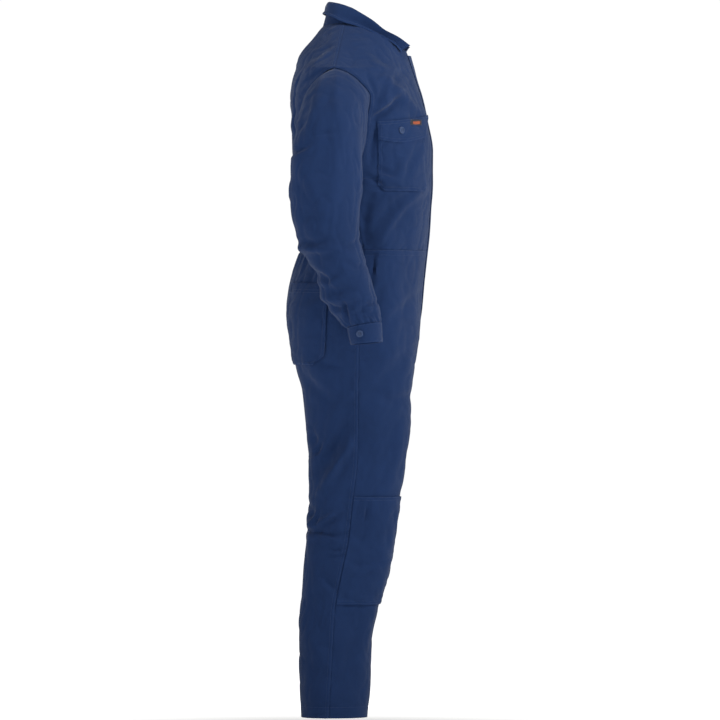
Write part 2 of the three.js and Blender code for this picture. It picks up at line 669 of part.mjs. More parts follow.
function sleeveRing(step) {
  const s = sleeveTable(step);
  const middle = (one, other) => (s[one] + s[other]) / 2;
  const centre = point(middle("inOut", "topOut"), middle("front", "back"), middle("inHeight", "topHeight"));
  const top = point(s.topOut, centre.y, s.topHeight).sub(centre);
  const front = point(centre.x + s.cup, s.front, s.frontHeight).sub(centre);
  const back = point(centre.x + s.cup, s.back, s.backHeight).sub(centre);
  return Array.from({ length: SLEEVE_COLUMNS }, (unused, c) => {
    const angle = (c / SLEEVE_COLUMNS) * 2 * Math.PI;
    const side = Math.sin(angle) >= 0 ? front : back;
    const at = centre.clone().addScaledVector(top, squared(Math.cos(angle), SLEEVE_POWER));
    return at.addScaledVector(side, Math.abs(squared(Math.sin(angle), SLEEVE_POWER)));
  });
}

// Points of the armhole seam in the order of a sleeve ring: tip, front, underarm, back
function armholeRing() {
  return Array.from({ length: SLEEVE_COLUMNS }, (unused, c) => {
    const at = armholePoint(Math.abs(SLEEVE_HALF - c), c <= SLEEVE_HALF);
    at.x += ARMHOLE_GAP;
    return at;
  });
}

const sleeveSeat = armholeRing();
const sleeveMiss = sleeveSeat.map((at, c) => at.clone().sub(sleeveRing(0)[c]));
const sleeveInside = SLEEVE_ROWS.map((row, r) => {
  const ring = sleeveRing(r);
  return ring.reduce((sum, at) => sum.add(at), point(0, 0, 0)).divideScalar(SLEEVE_COLUMNS);
});
const sleeveGrid = SLEEVE_ROWS.map((row, r) => sleeveRing(r).map((at, c) => (
  at.addScaledVector(sleeveMiss[c], SLEEVE_MATCH[r] ?? 0)
)));

function tubeNormals(grid, centres) {
  const normals = gridNormals(grid, (at) => at, true);
  grid.forEach((row, r) => row.forEach((at, c) => {
    if (normals[r][c].dot(at.clone().sub(centres[r])) < 0) normals[r][c].negate();
  }));
  return normals;
}

let sleeveNormals = tubeNormals(sleeveGrid, sleeveInside);
sleeveGrid.forEach((row, r) => row.forEach((at, c) => {
  const { fromRow, overRows, wristRows } = SLEEVE_ENDS_FADE;
  const ends = ease((r - fromRow) / overRows) * ease((SLEEVE_ROWS.length - 1 - r) / wristRows);
  at.addScaledVector(sleeveNormals[r][c], foldDepth("sleeve", at.y, at.z) * ends);
}));
sleeveNormals = tubeNormals(sleeveGrid, sleeveInside);
sleeveNormals[0].forEach((normal) => dropAxis(normal, "x"));

// Part of a closed tube from one column to another, its edges drawn in by half a seam gap
function cutTube(grid, normals, fromColumn, toColumn) {
  const count = grid[0].length;
  const wrapped = (c) => ((c % count) + count) % count;
  const columns = [];
  for (let c = fromColumn; c <= toColumn; c += 1) columns.push(c);
  const towards = (row, c, other) => {
    const at = row[wrapped(c)].clone();
    const pull = row[wrapped(other)].clone().sub(at).normalize();
    return at.addScaledVector(pull, HALF_GAP);
  };
  const points = grid.map((row) => columns.map((c) => {
    if (c === fromColumn) return towards(row, c, c + 1);
    if (c === toColumn) return towards(row, c, c - 1);
    return row[wrapped(c)].clone();
  }));
  const directions = normals.map((row) => columns.map((c) => row[wrapped(c)].clone()));
  return { points, directions };
}

const sleeveTop = cutTube(
  sleeveGrid, sleeveNormals, SLEEVE_BACK_SEAM_COLUMN - SLEEVE_COLUMNS, SLEEVE_FRONT_SEAM_COLUMN,
);
const sleeveUnder = cutTube(
  sleeveGrid, sleeveNormals, SLEEVE_FRONT_SEAM_COLUMN, SLEEVE_BACK_SEAM_COLUMN,
);
for (const { side, label } of SIDES) {
  addPiece(`sleeve_top_${label}`, wall(sleeveTop.points, sleeveTop.directions, CLOTH), side);
  addPiece(`sleeve_under_${label}`, wall(sleeveUnder.points, sleeveUnder.directions, CLOTH), side);
}

// Cuffs: a strip round the wrist that ends by lapping over its own start
const cuffCentre = (row) => point(
  (row.inOut + row.outOut) / 2, (row.front + row.back) / 2, (row.inHeight + row.outHeight) / 2,
);

function cuffPoint(row, turn, rise) {
  const centre = cuffCentre(row);
  const top = point(row.outOut, centre.y, row.outHeight).sub(centre);
  const front = point(centre.x, row.front, row.frontHeight).sub(centre);
  const back = point(centre.x, row.back, row.backHeight).sub(centre);
  const angle = turn * 2 * Math.PI;
  const side = Math.sin(angle) >= 0 ? front : back;
  const away = top.clone().multiplyScalar(squared(Math.cos(angle), SLEEVE_POWER));
  away.addScaledVector(side, Math.abs(squared(Math.sin(angle), SLEEVE_POWER)));
  return centre.add(away).addScaledVector(away.normalize(), rise);
}

function cuffGrid() {
  return cuffRows.map((row) => Array.from({ length: CUFF_COLUMNS + 1 }, (unused, c) => {
    const share = c / CUFF_COLUMNS;
    const turn = CUFF_START_TURN + share * (1 + CUFF_LAP_TURN);
    const under = ease((share - CUFF_STEP_FROM) / CUFF_STEP_SPAN);
    return cuffPoint(row, turn, 1 - CUFF_LAP_RISE * under);
  }));
}

const cuffPoints = cuffGrid();
const cuffNormals = gridNormals(cuffPoints, (at) => cuffCentre(cuffRows[1]).setZ(at.z));
for (const { side, label } of SIDES) {
  addPiece(`cuff_${label}`, wall(cuffPoints, cuffNormals, DOUBLE_CLOTH), side);
}

// Legs: each side has a front and a back, meeting at the side seam and the inseam
function legPoint(share, height, isFront) {
  const s = legTable(height);
  const open = height > CROTCH_HEIGHT;
  const clip = Math.min(1, Math.pow(s.centre / s.inner, LEG_POWER / 2));
  const last = open ? Math.acos(-clip) : Math.PI;
  const angle = share * last;
  const across = squared(Math.cos(angle), LEG_POWER);
  const reach = across >= 0 ? s.outer : s.inner;
  const depth = (isFront ? s.front : s.back) - s.side;
  const out = s.centre + reach * across;
  return point(Math.max(out, 0), s.side + depth * squared(Math.sin(angle), LEG_POWER), height);
}

function legPanel(columns, isFront) {
  const seamShift = isFront ? -HALF_GAP : HALF_GAP;
  const grid = LEG_HEIGHTS.map((height) => Array.from({ length: columns + 1 }, (unused, c) => {
    const at = legPoint(c / columns, height, isFront);
    const atSeam = c === 0 || (c === columns && height <= CROTCH_HEIGHT);
    if (atSeam) at.y += seamShift;
    return at;
  }));
  const centres = LEG_HEIGHTS.map((height) => {
    const s = legTable(height);
    return point(Math.max(s.centre, LEG_LEAST_CENTRE), s.side, height);
  });
  const settledNormals = () => {
    const normals = gridNormals(grid, (at) => at);
    normals.forEach((row, r) => {
      row.forEach((normal, c) => {
        if (normal.dot(grid[r][c].clone().sub(centres[r])) < 0) normal.negate();
      });
      dropAxis(row[0], "y");
      dropAxis(row[columns], LEG_HEIGHTS[r] > CROTCH_HEIGHT ? "x" : "y");
    });
    normals[LEG_HEIGHTS.length - 1].forEach((normal) => dropAxis(normal, "z"));
    return normals;
  };
  const flat = settledNormals();
  grid.forEach((row, r) => row.forEach((at, c) => {
    const height = LEG_HEIGHTS[r];
    const ends = ease(height / HEM_FADE) * ease((WAIST_HEIGHT - height) / LEG_WAIST_FADE);
    const nearCrotch = height > CROTCH_HEIGHT - WAIST_FADE;
    const middle = nearCrotch ? ease((columns - c) / CROTCH_FADE_COLUMNS) : 1;
    const wave = !isFront && c > 0 && c < columns && c % 2 === 1 ? 1 : -1;
    const fromSide = ease(c / CROTCH_FADE_COLUMNS);
    const gather = isFront ? 0 : wave * GATHER_DEPTH * gatherFade(WAIST_HEIGHT - height) * fromSide;
    const fold = foldDepth("leg", at.y, at.z) * ends * middle;
    at.addScaledVector(flat[r][c], fold + gather * ease((columns - c) / 2));
  }));
  const normals = settledNormals();
  grid.forEach((row) => row.forEach((at) => { at.x += HALF_GAP; }));
  return { grid, normals };
}

const legFront = legPanel(LEG_FRONT_COLUMNS, true);
const legBack = legPanel(LEG_BACK_COLUMNS, false);
for (const { side, label } of SIDES) {
  addPiece(`leg_front_${label}`, wall(legFront.grid, legFront.normals, CLOTH), side);
  addPiece(`leg_back_${label}`, wall(legBack.grid, legBack.normals, CLOTH), side);
}

// Storm flap: a strip over both fronts, following the left front's edge into the open neck
function bodyFrontY(out, height) {
  if (height >= WAIST_HEIGHT) return torsoY(out, height, true);
  const s = legTable(height);
  const reach = out < s.centre ? s.inner : s.outer;
  return s.side + (s.front - s.side) * bulge(Math.abs(out - s.centre) / reach, LEG_POWER);
}

const openingEdge = curveThrough(
  FRONT_ROWS.map((row) => row.startHeight), FRONT_ROWS.map((row) => row.startOut),
);
const flapColumns = [FLAP_FREE_SIDE, -FLAP_BEND, 0, FLAP_BEND, FLAP_SEWN_SIDE];
const flapGrid = FLAP_HEIGHTS.map((height) => {
  const edge = height > WAIST_HEIGHT ? openingEdge(height) : 0;
  const lift = FLAP_LIFT + FLAP_LOW_LIFT * ease((FLAP_LOW_UP_TO - height) / FLAP_FADE);
  return flapColumns.map((across) => {
    const x = edge + across;
    return point(x, bodyFrontY(Math.abs(x), height) - lift - DOUBLE_CLOTH, height);
  });
});
const flapNormals = flapGrid.map((row) => row.map(() => point(0, -1, 0)));
addPiece("storm_flap", wall(flapGrid, flapNormals, DOUBLE_CLOTH), 1);

// Collar: a stand on the neckline, and a fall turned down from its top edge
const neckline = [
  ...backGrid[BACK_ROWS.length - 1].slice(BACK_COLUMNS, BACK_COLUMNS + NECK_COLUMN + 1),
  ...frontGrid.slice(NECK_ROW, -1).map((row) => row[0]).reverse(),
];
const neckLengths = neckline.map((at, i) => (i ? at.distanceTo(neckline[i - 1]) : 0));
const neckTotal = neckLengths.reduce((sum, length) => sum + length, 0);
const neckTurns = neckLengths.map((length, i) => (
  neckLengths.slice(0, i + 1).reduce((sum, value) => sum + value, 0) / neckTotal
));
const bothSides = (row) => [...row.slice(1).reverse().map(mirrored), ...row];

const standHalf = Array.from({ length: STAND_ROWS + 1 }, (unused, r) => neckline.map((at, i) => {
  const roll = collarTable(neckTurns[i]);
  const away = point(roll.rollOut, roll.rollY - COLLAR_AXIS_Y, 0).normalize();
  const top = point(roll.rollOut, roll.rollY, roll.rollHeight - STAND_DROP);
  top.addScaledVector(away, -STAND_INSET);
  const foot = at.clone().setZ(at.z + GAP + HALF_GAP);
  return foot.lerp(top, r / STAND_ROWS);
}));
const standGrid = standHalf.map(bothSides);
standGrid.forEach((row) => { row[neckline.length - 1].x = 0; });
const standNormals = standGrid.map((row) => row.map((at) => (
  point(at.x, at.y - COLLAR_AXIS_Y, 0).normalize()
)));
addPiece("collar_stand", wall(standGrid, standNormals, COLLAR_CLOTH), 1);

const fallHalf = Array.from({ length: FALL_ROWS + 1 }, (unused, r) => neckTurns.map((turn) => {
  const at = collarTable(turn);
  const share = r / FALL_ROWS;
  const puff = FALL_CURVE * 4 * share * (1 - share);
  const rolled = point(at.rollOut, at.rollY, at.rollHeight);
  const placed = rolled.lerp(point(at.edgeOut, at.edgeY, at.edgeHeight), share);
  const away = point(at.edgeOut, at.edgeY - COLLAR_AXIS_Y, 0).normalize();
  return placed.addScaledVector(away, puff / 2).add(point(0, 0, puff / 2));
}));
const fallGrid = fallHalf.map(bothSides);
fallGrid.forEach((row) => { row[neckline.length - 1].x = 0; });
const fallNormals = gridNormals(fallGrid, (at) => point(0, COLLAR_AXIS_Y, at.z - 60));
addPiece("collar_fall", wall(fallGrid, fallNormals, COLLAR_CLOTH), 1);

// A point or direction between the rows and columns of a grid, on the wall's own triangles
function sample(grid, r, c) {
  const low = clamp(Math.floor(r), 0, grid.length - 2);
  const left = clamp(Math.floor(c), 0, grid[0].length - 2);
  const up = r - low;
  const across = c - left;
  const start = grid[low][left];
  const far = grid[low + 1][left + 1];
  const middle = across >= up ? grid[low][left + 1] : grid[low + 1][left];
  const first = Math.max(up, across);
  const second = Math.min(up, across);
  const at = start.clone().addScaledVector(middle.clone().sub(start), first);
  return at.addScaledVector(far.clone().sub(middle), second);
}

function steps(from, to) {
  const list = [from];
  for (let k = Math.floor(from) + 1; k < to; k += 1) list.push(k);
  return [...list, to];
}

// A piece laid on a panel; place(i, j) gives the row and column of each of its points
function patch(panel, rowCount, columnCount, place) {
  const at = (grid) => Array.from({ length: rowCount }, (unused, i) => (
    Array.from({ length: columnCount }, (none, j) => {
      const { row, column } = place(i, j);
      return sample(grid, row, column);
    })
  ));
  const normals = at(panel.normals);
  normals.forEach((row) => row.forEach((normal) => normal.normalize()));
  return { grid: at(panel.grid), normals };
}

const frontPanel = { grid: frontGrid, normals: frontNormals };
const chestColumns = steps(CHEST_COLUMN_FROM, CHEST_COLUMN_TO);
const chestRows = steps(CHEST_ROW_LOW, CHEST_ROW_HIGH);
const chestPocket = patch(frontPanel, chestRows.length, chestColumns.length, (i, j) => {
  const atCorner = i === 0 && (j === 0 || j === chestColumns.length - 1);
  return { row: chestRows[i] + (atCorner ? CHEST_CORNER_CUT : 0), column: chestColumns[j] };
});
const flapEdge = curveThrough(
  CHEST_FLAP_LOW_ROWS.map((row) => row[0]), CHEST_FLAP_LOW_ROWS.map((row) => row[1]),
);
const chestFlap = patch(frontPanel, CHEST_FLAP_ROW_COUNT, chestColumns.length, (i, j) => {
  const column = chestColumns[j];
  const wider = (j === 0 ? -1 : 0) + (j === chestColumns.length - 1 ? 1 : 0);
  const row = mix(flapEdge(column), CHEST_FLAP_TOP_ROW, i / (CHEST_FLAP_ROW_COUNT - 1));
  return { row, column: column + wider * CHEST_FLAP_WIDER };
});
const chestFlapLift = (r) => (
  r === CHEST_FLAP_ROW_COUNT - 1 ? CHEST_FLAP_TOP_LIFT : CHEST_FLAP_LIFT
);

// A button lying on a point with its dish facing outwards
function button(at, facing) {
  const across = point(0, 0, 1).cross(facing).normalize();
  const up = facing.clone().cross(across).normalize();
  const rings = [
    { radius: BUTTON_RADIUS, depth: 0 },
    { radius: BUTTON_RADIUS, depth: BUTTON_DEPTH },
    { radius: BUTTON_RADIUS * BUTTON_RIM, depth: BUTTON_DEPTH },
    { radius: BUTTON_RADIUS * BUTTON_DISH_FLOOR, depth: BUTTON_DEPTH - BUTTON_DISH },
  ];
  const positions = [];
  const put = (radius, turn, depth) => {
    const place = at.clone().addScaledVector(across, radius * Math.cos(turn));
    place.addScaledVector(up, radius * Math.sin(turn)).addScaledVector(facing, depth);
    positions.push(place.x, place.y, place.z);
  };
  rings.forEach(({ radius, depth }) => {
    for (let k = 0; k < BUTTON_SIDES; k += 1) put(radius, (k / BUTTON_SIDES) * 2 * Math.PI, depth);
  });
  put(0, 0, 0);
  put(0, 0, BUTTON_DEPTH - BUTTON_DISH);
  const low = rings.length * BUTTON_SIDES;
  const faces = [];
  for (let k = 0; k < BUTTON_SIDES; k += 1) {
    const next = (k + 1) % BUTTON_SIDES;
    for (let ring = 0; ring < rings.length - 1; ring += 1) {
      const a = ring * BUTTON_SIDES;
      const b = a + BUTTON_SIDES;
      faces.push([a + k, a + next, b + next], [a + k, b + next, b + k]);
    }
    faces.push([low, next, k]);
    faces.push([low + 1, low - BUTTON_SIDES + k, low - BUTTON_SIDES + next]);
  }
  return { positions, faces };
}

// The column of a panel row where the cloth reaches a given y
function columnAt(grid, row, y) {
  let low = 0;
  let high = grid[0].length - 1;
  for (let i = 0; i < 30; i += 1) {
    const middle = (low + high) / 2;
    if (sample(grid, row, middle).y < y) low = middle;
    else high = middle;
  }
  return low;
}

function rowAt(grid, column, height) {
  let low = 0;
  let high = grid.length - 1;
  for (let i = 0; i < 30; i += 1) {
    const middle = (low + high) / 2;
    if (sample(grid, middle, column).z < height) low = middle;
    else high = middle;
  }
  return low;
}

const buttonColumn = columnAt(frontGrid, CHEST_BUTTON.row, CHEST_BUTTON.y);
const buttonRow = rowAt(frontGrid, buttonColumn, CHEST_BUTTON.height);
const chestButtonNormal = sample(frontNormals, buttonRow, buttonColumn).normalize();
const chestButtonAt = sample(frontGrid, buttonRow, buttonColumn)
  .addScaledVector(chestButtonNormal, CHEST_FLAP_LIFT + GAP);
for (const { side, label } of SIDES) {
  const pocket = wall(chestPocket.grid, chestPocket.normals, PATCH_CLOTH, CHEST_POCKET_LIFT);
  addPiece(`chest_pocket_${label}`, pocket, side);
  const flap = wall(chestFlap.grid, chestFlap.normals, CLOTH, chestFlapLift);
  addPiece(`chest_flap_${label}`, flap, side);
  const disc = button(chestButtonAt, chestButtonNormal);
  addPiece(`chest_button_${label}`, disc, side, BUTTON_BLUE, BUTTON_GLOSS);
}

// Plain tag on the right chest flap
const tagColumns = steps(
  columnAt(frontGrid, TAG.row, TAG.toY), columnAt(frontGrid, TAG.row, TAG.fromY),
);
const tag = patch(frontPanel, 2, tagColumns.length, (i, j) => ({
  row: rowAt(frontGrid, tagColumns[j], i ? TAG.highHeight : TAG.lowHeight), column: tagColumns[j],
}));
const tagLift = CHEST_FLAP_LIFT + GAP + TAG_DEPTH;
addPiece("label_tag", wall(tag.grid, tag.normals, TAG_DEPTH, tagLift), -1, TAG_ORANGE);

// Cuff buttons
const cuffBase = cuffRows[CUFF_BUTTON.row];
const cuffButtonAt = cuffPoint(cuffBase, CUFF_BUTTON.turn, 1 + GAP);
const cuffButtonNormal = cuffButtonAt.clone().sub(cuffCentre(cuffBase)).normalize();
for (const { side, label } of SIDES) {
  const disc = button(cuffButtonAt, cuffButtonNormal);
  addPiece(`cuff_button_${label}`, disc, side, BUTTON_BLUE, BUTTON_GLOSS);
}

// Rear pockets: the side edges run nearly upright, across the panel's columns
const rearRows = steps(
  rowAt(legBack.grid, REAR_POCKET.middleColumn, REAR_POCKET.lowHeight),
  rowAt(legBack.grid, REAR_POCKET.middleColumn, REAR_POCKET.highHeight),
);
const rearColumns = steps(REAR_POCKET.bottomColumn, REAR_POCKET.topColumn + REAR_POCKET.topWidth);
const rearPocket = patch(legBack, rearRows.length, rearColumns.length, (i, j) => {
  const height = sample(legBack.grid, rearRows[i], REAR_POCKET.middleColumn).z;
  const up = (height - REAR_POCKET.lowHeight) / (REAR_POCKET.highHeight - REAR_POCKET.lowHeight);
  const cut = REAR_POCKET.cut * Math.max(0, 1 - up / REAR_POCKET.cutShare);
  const from = mix(REAR_POCKET.bottomColumn, REAR_POCKET.topColumn, up) + cut;
  const to = from - 2 * cut + mix(REAR_POCKET.bottomWidth, REAR_POCKET.topWidth, up);
  const last = rearColumns.length - 1;
  const near = REAR_POCKET.leastSpacing;
  const column = clamp(rearColumns[j], from + near * j, to - near * (last - j));
  return { row: rearRows[i], column: j === 0 ? from : j === last ? to : column };
});
const kneeRows = steps(
  LEG_HEIGHTS.indexOf(KNEE_LOW_HEIGHT), LEG_HEIGHTS.indexOf(KNEE_HIGH_HEIGHT),
);
const kneeColumns = steps(0, LEG_FRONT_COLUMNS);
const kneePocket = patch(legFront, kneeRows.length, kneeColumns.length, (i, j) => (
  { row: kneeRows[i], column: kneeColumns[j] }
));
for (const { side, label } of SIDES) {
  const rearWall = wall(rearPocket.grid, rearPocket.normals, CLOTH, REAR_POCKET.lift + CLOTH);
  addPiece(`rear_pocket_${label}`, rearWall, side);
  const kneeWall = wall(kneePocket.grid, kneePocket.normals, CLOTH, GAP + CLOTH);
  addPiece(`knee_pocket_${label}`, kneeWall, side);
}

export default suit;
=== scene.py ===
import json
import math

import bmesh
import bpy
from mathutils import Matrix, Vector
import numpy as np

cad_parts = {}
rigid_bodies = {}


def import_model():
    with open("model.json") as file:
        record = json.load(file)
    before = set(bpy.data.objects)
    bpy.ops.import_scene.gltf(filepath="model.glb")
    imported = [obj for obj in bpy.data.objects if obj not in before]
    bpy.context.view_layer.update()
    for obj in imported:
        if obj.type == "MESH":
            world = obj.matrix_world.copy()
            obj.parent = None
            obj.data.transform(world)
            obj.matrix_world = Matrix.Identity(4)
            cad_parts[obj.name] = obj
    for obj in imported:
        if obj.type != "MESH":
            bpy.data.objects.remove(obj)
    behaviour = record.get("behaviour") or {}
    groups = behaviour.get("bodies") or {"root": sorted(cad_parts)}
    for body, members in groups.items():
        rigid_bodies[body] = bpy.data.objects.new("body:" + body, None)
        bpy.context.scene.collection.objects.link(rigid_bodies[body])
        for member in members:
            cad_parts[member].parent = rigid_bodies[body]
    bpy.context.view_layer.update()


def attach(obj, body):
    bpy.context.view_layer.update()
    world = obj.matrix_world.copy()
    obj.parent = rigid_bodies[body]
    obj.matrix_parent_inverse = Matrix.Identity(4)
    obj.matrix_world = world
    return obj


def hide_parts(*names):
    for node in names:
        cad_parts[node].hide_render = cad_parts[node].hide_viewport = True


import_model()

# Boiler suit as cloth shells. Trunk and legs lie on the sections of its solids; the front of the
# armhole, the sleeves and the collar have sections of their own. The tables are in millimetres:
# out = from the centre plane, y = front to back (front is negative), height = above the hem.
SHOULDER_HEIGHT = 1465
WAIST_HEIGHT = 1019
UNDERARM_HEIGHT = 1172
CROTCH_HEIGHT = 775
TIP = {"out": 236, "y": 11, "height": 1413}
NECK = {"out": 75, "y": -11, "height": 1516}
MM = 0.001

CLOTH = 1.3
BAND_CLOTH = 2.0
PATCH_CLOTH = 1.0
HALF_GAP = 0.15
ARMHOLE_GAP = 0.45
STEP = 4.4
SLEEVE_STEP = 3.7
TUCK = {"sink": 1.5, "reach": 4.0}

TORSO_COLUMNS = "height halfWidth front back ridge frontPower backPower"
TORSO_ROWS = [
    (1019, 203, -190.5, 84, -52, 2.2, 2.3),
    (1063, 206, -195, 86, -42, 2.25, 2.5),
    (1106, 210, -197.5, 89, -32, 2.3, 2.8),
    (1172, 216, -201.5, 95, -15, 2.45, 3.2),
    (1237, 221, -201.5, 99, -8, 2.5, 3.6),
    (1303, 228, -190.5, 101, 0, 2.4, 3.4),
    (1357, 234, -178.5, 105, 6, 2.05, 2.8),
    (1390, 238, -168.5, 102, 9, 1.75, 2.3),
    (1413, 236, -162.5, 98, 11, 1.55, 2.0),
    (1447, 183, -153.5, 86, 4, 1.5, 1.9),
    (1475, 139, -148, 69, -2, 1.5, 1.85),
    (1499, 102, -144, 50, -7, 1.5, 1.9),
    (1516, 75, -140, 34, -11, 1.5, 2.0),
]
ARMHOLE_COLUMNS = "height out y"
ARMHOLE_FRONT_ROWS = [
    (1172, 216, -15), (1179, 214, -30), (1195, 212, -41), (1235, 212, -49), (1290, 215, -57),
    (1350, 218, -67), (1385, 225, -42), (1404, 231, -16), (1413, 236, 11),
]
ARMHOLE_BACK_ROWS = [
    (1172, 216, -15), (1178, 215, 8), (1192, 213, 34), (1235, 210, 67), (1290, 211, 77),
    (1345, 219, 70), (1388, 229, 48), (1405, 233, 30), (1413, 236, 11),
]
ARMHOLE_TURNS = 9
# Cut rows: start at the front edge, neckline or centre back; the first six end on the side seam
# at the same height, the others on the armhole at a turn from 0 (underarm) to 9 (shoulder tip)
SEAM_ROWS = 5
FRONT_START_COLUMNS = "row out height"
FRONT_STARTS = [
    (0, 0, 1019.15), (1, 0, 1040), (2, 0, 1066), (3, 0, 1098), (4, 0, 1135), (5, 0, 1172),
    (6, 0, 1195), (7, 0, 1226), (8, 0, 1260), (9, 0, 1300), (10, 0, 1334), (11, 0, 1362),
    (12, 8, 1390), (13, 15, 1416), (14, 21, 1438), (15, 26, 1456), (16, 46, 1466),
    (17, 61, 1483), (18, 70, 1500), (19, 75, 1516),
]
FRONT_TURNS = [
    (5, 0), (6, 1), (7, 2), (8, 3), (9, 4), (10, 5), (11, 6), (12, 6.5), (13, 7), (14, 7.5),
    (15, 8), (16, 8.25), (17, 8.5), (18, 8.75), (19, 9),
]
FRONT_LAST_ROW = 19
FRONT_NECK_ROW = 15
FRONT_COLUMNS = 13
BACK_START_COLUMNS = "row height lift"
BACK_STARTS = [
    (0, 1019.15, 0), (1, 1040, 0), (2, 1066, 0), (3, 1098, 0), (4, 1135, 0), (5, 1172, 0),
    (6, 1206, 0), (7, 1242, 0.02), (8, 1282, 0.06), (9, 1322, 0.14), (10, 1360, 0.26),
    (11, 1396, 0.42), (12, 1430, 0.6), (13, 1460, 0.76), (14, 1488, 0.89), (15, 1512, 1),
]
BACK_TURNS = [
    (5, 0), (6, 1), (7, 2), (8, 3), (9, 4), (10, 5), (11, 6), (12, 7), (13, 7.6), (14, 8),
    (15, 9),
]
BACK_LAST_ROW = 15
SLEEVE_COLUMNS = "step inOut inHeight topOut topHeight front frontHeight back backHeight cup"
SLEEVE_ROWS = [
    (0, 216, 1172, 236, 1413, -60, 1290, 77, 1290, -12),
    (1, 221, 1161, 268, 1400, -61, 1290, 88, 1281, -8),
    (2, 225, 1152, 300, 1379, -56, 1276, 96, 1268, -3),
    (3, 228, 1144, 327, 1345, -52, 1253, 100, 1249, 0),
    (4, 231, 1135, 346, 1297, -49, 1222, 101, 1222, 0),
    (5, 233, 1123, 357, 1240, -48, 1188, 105, 1190, 0),
    (6, 234, 1105, 363, 1175, -48, 1150, 109, 1150, 0),
    (7, 235, 1075, 366, 1112, -43, 1105, 104, 1103, 0),
    (8, 235, 1038, 366, 1060, -42, 1062, 96, 1060, 0),
    (9, 235, 1003, 362, 1017, -49, 1017, 87, 1018, 0),
    (10, 235, 974, 357, 982, -58, 982, 60, 982, 0),
    (11, 236, 945, 351, 950, -66, 950, 48, 950, 0),
    (12, 238, 915, 344, 918, -75, 918, 41, 918, 0),
    (13, 240, 888, 336, 892, -84, 894, 24, 888, 0),
    (14, 243, 866, 330, 872, -88, 875, 3, 864, 0),
    (15, 245, 852, 327, 857, -89, 861, -15, 848, 0),
]
SLEEVE_LAST_STEP = 15
SLEEVE_POWER = 2.1
SLEEVE_TURNS = 18
SLEEVE_SEAMS = {"back": 12, "front": 7}
CUFF_COLUMNS = "step inOut inHeight topOut topHeight front frontHeight back backHeight"
CUFF_ROWS = [
    (0, 245, 851, 327, 856.4, -89, 860, -15, 847),
    (1, 244, 833, 328, 837, -91, 839, -18, 830),
    (2, 245, 813, 327, 816, -91, 818, -23, 812),
]
CUFF_START_TURN = 0.82
CUFF_LAP_TURN = 0.18
CUFF_STEP_FROM = 0.7
CUFF_STEP_SPAN = 0.13
CUFF_LAP_RISE = 3.1
LEG_COLUMNS = "height centre outer inner side front back"
LEG_ROWS = [
    (0, 112, 75, 75, 24, -59, 84),
    (60, 111, 73, 73, 21, -65, 88),
    (146, 110, 70, 70, 16, -71, 89),
    (233, 108, 68, 68, 11, -82, 87),
    (300, 107, 67, 67, 0, -99, 81),
    (386, 107, 66, 66, -18, -116, 73),
    (473, 107, 67, 67, -28, -129, 68),
    (560, 105, 73, 73, -38, -143, 67),
    (648, 103, 88, 84, -40, -153, 75),
    (713, 100, 102, 91, -40, -157, 83),
    (757, 95, 112, 92.5, -41, -163, 97),
    (775, 92, 118, 92, -41, -166, 101),
    (790, 88, 126, 95, -41, -168, 103),
    (830, 70, 152, 104, -42, -172, 110),
    (877, 45, 181, 130, -43, -177, 119),
    (930, 20, 200, 170, -46, -181, 114),
    (975, 8, 204, 195, -49, -185.5, 103),
    (1019, 0, 203, 203, -52, -190.5, 84),
]
LEG_POWER = 2.2
LEG_TOP = 1018.85
COLLAR_COLUMNS = "turn rollOut rollY rollHeight edgeOut edgeY edgeHeight"
COLLAR_ROWS = [
    (0, 0, 27, 1565.5, 0, 34, 1540),
    (0.14, 30, 23, 1565, 37, 30, 1538),
    (0.3, 56, 5, 1561, 73, 9, 1527),
    (0.42, 70, -22, 1552, 82, -12, 1517),
    (0.52, 80, -45, 1539, 80, -32, 1511),
    (0.64, 84, -72, 1522, 78, -60, 1500),
    (0.76, 82, -100, 1500, 74, -88, 1486),
    (0.88, 70, -130, 1485, 65, -116, 1470),
    (1, 50, -154, 1468, 60, -130, 1454),
]
COLLAR_AXIS_Y = -55
FLAP_LINE = {"low": 846, "high": 1447, "free": -28, "sewn": 30}
REAR_POCKET = {
    "low": 769, "high": 946, "columns": 16, "topColumn": 4.1, "bottomColumn": 2.75,
    "topWidth": 7.6, "bottomWidth": 6.9, "cut": 0.9, "cutShare": 0.12,
}
KNEE = {"low": 247, "high": 482}
CHEST = {"lowRow": 4.3, "highRow": 9, "frontY": -185, "rearY": -83, "cut": 0.3}
CHEST_FLAP_LOW = [(-0.02, 8.5), (0.5, 8.36), (1.02, 8.62)]
CHEST_FLAP_TOP_ROW = 9.6

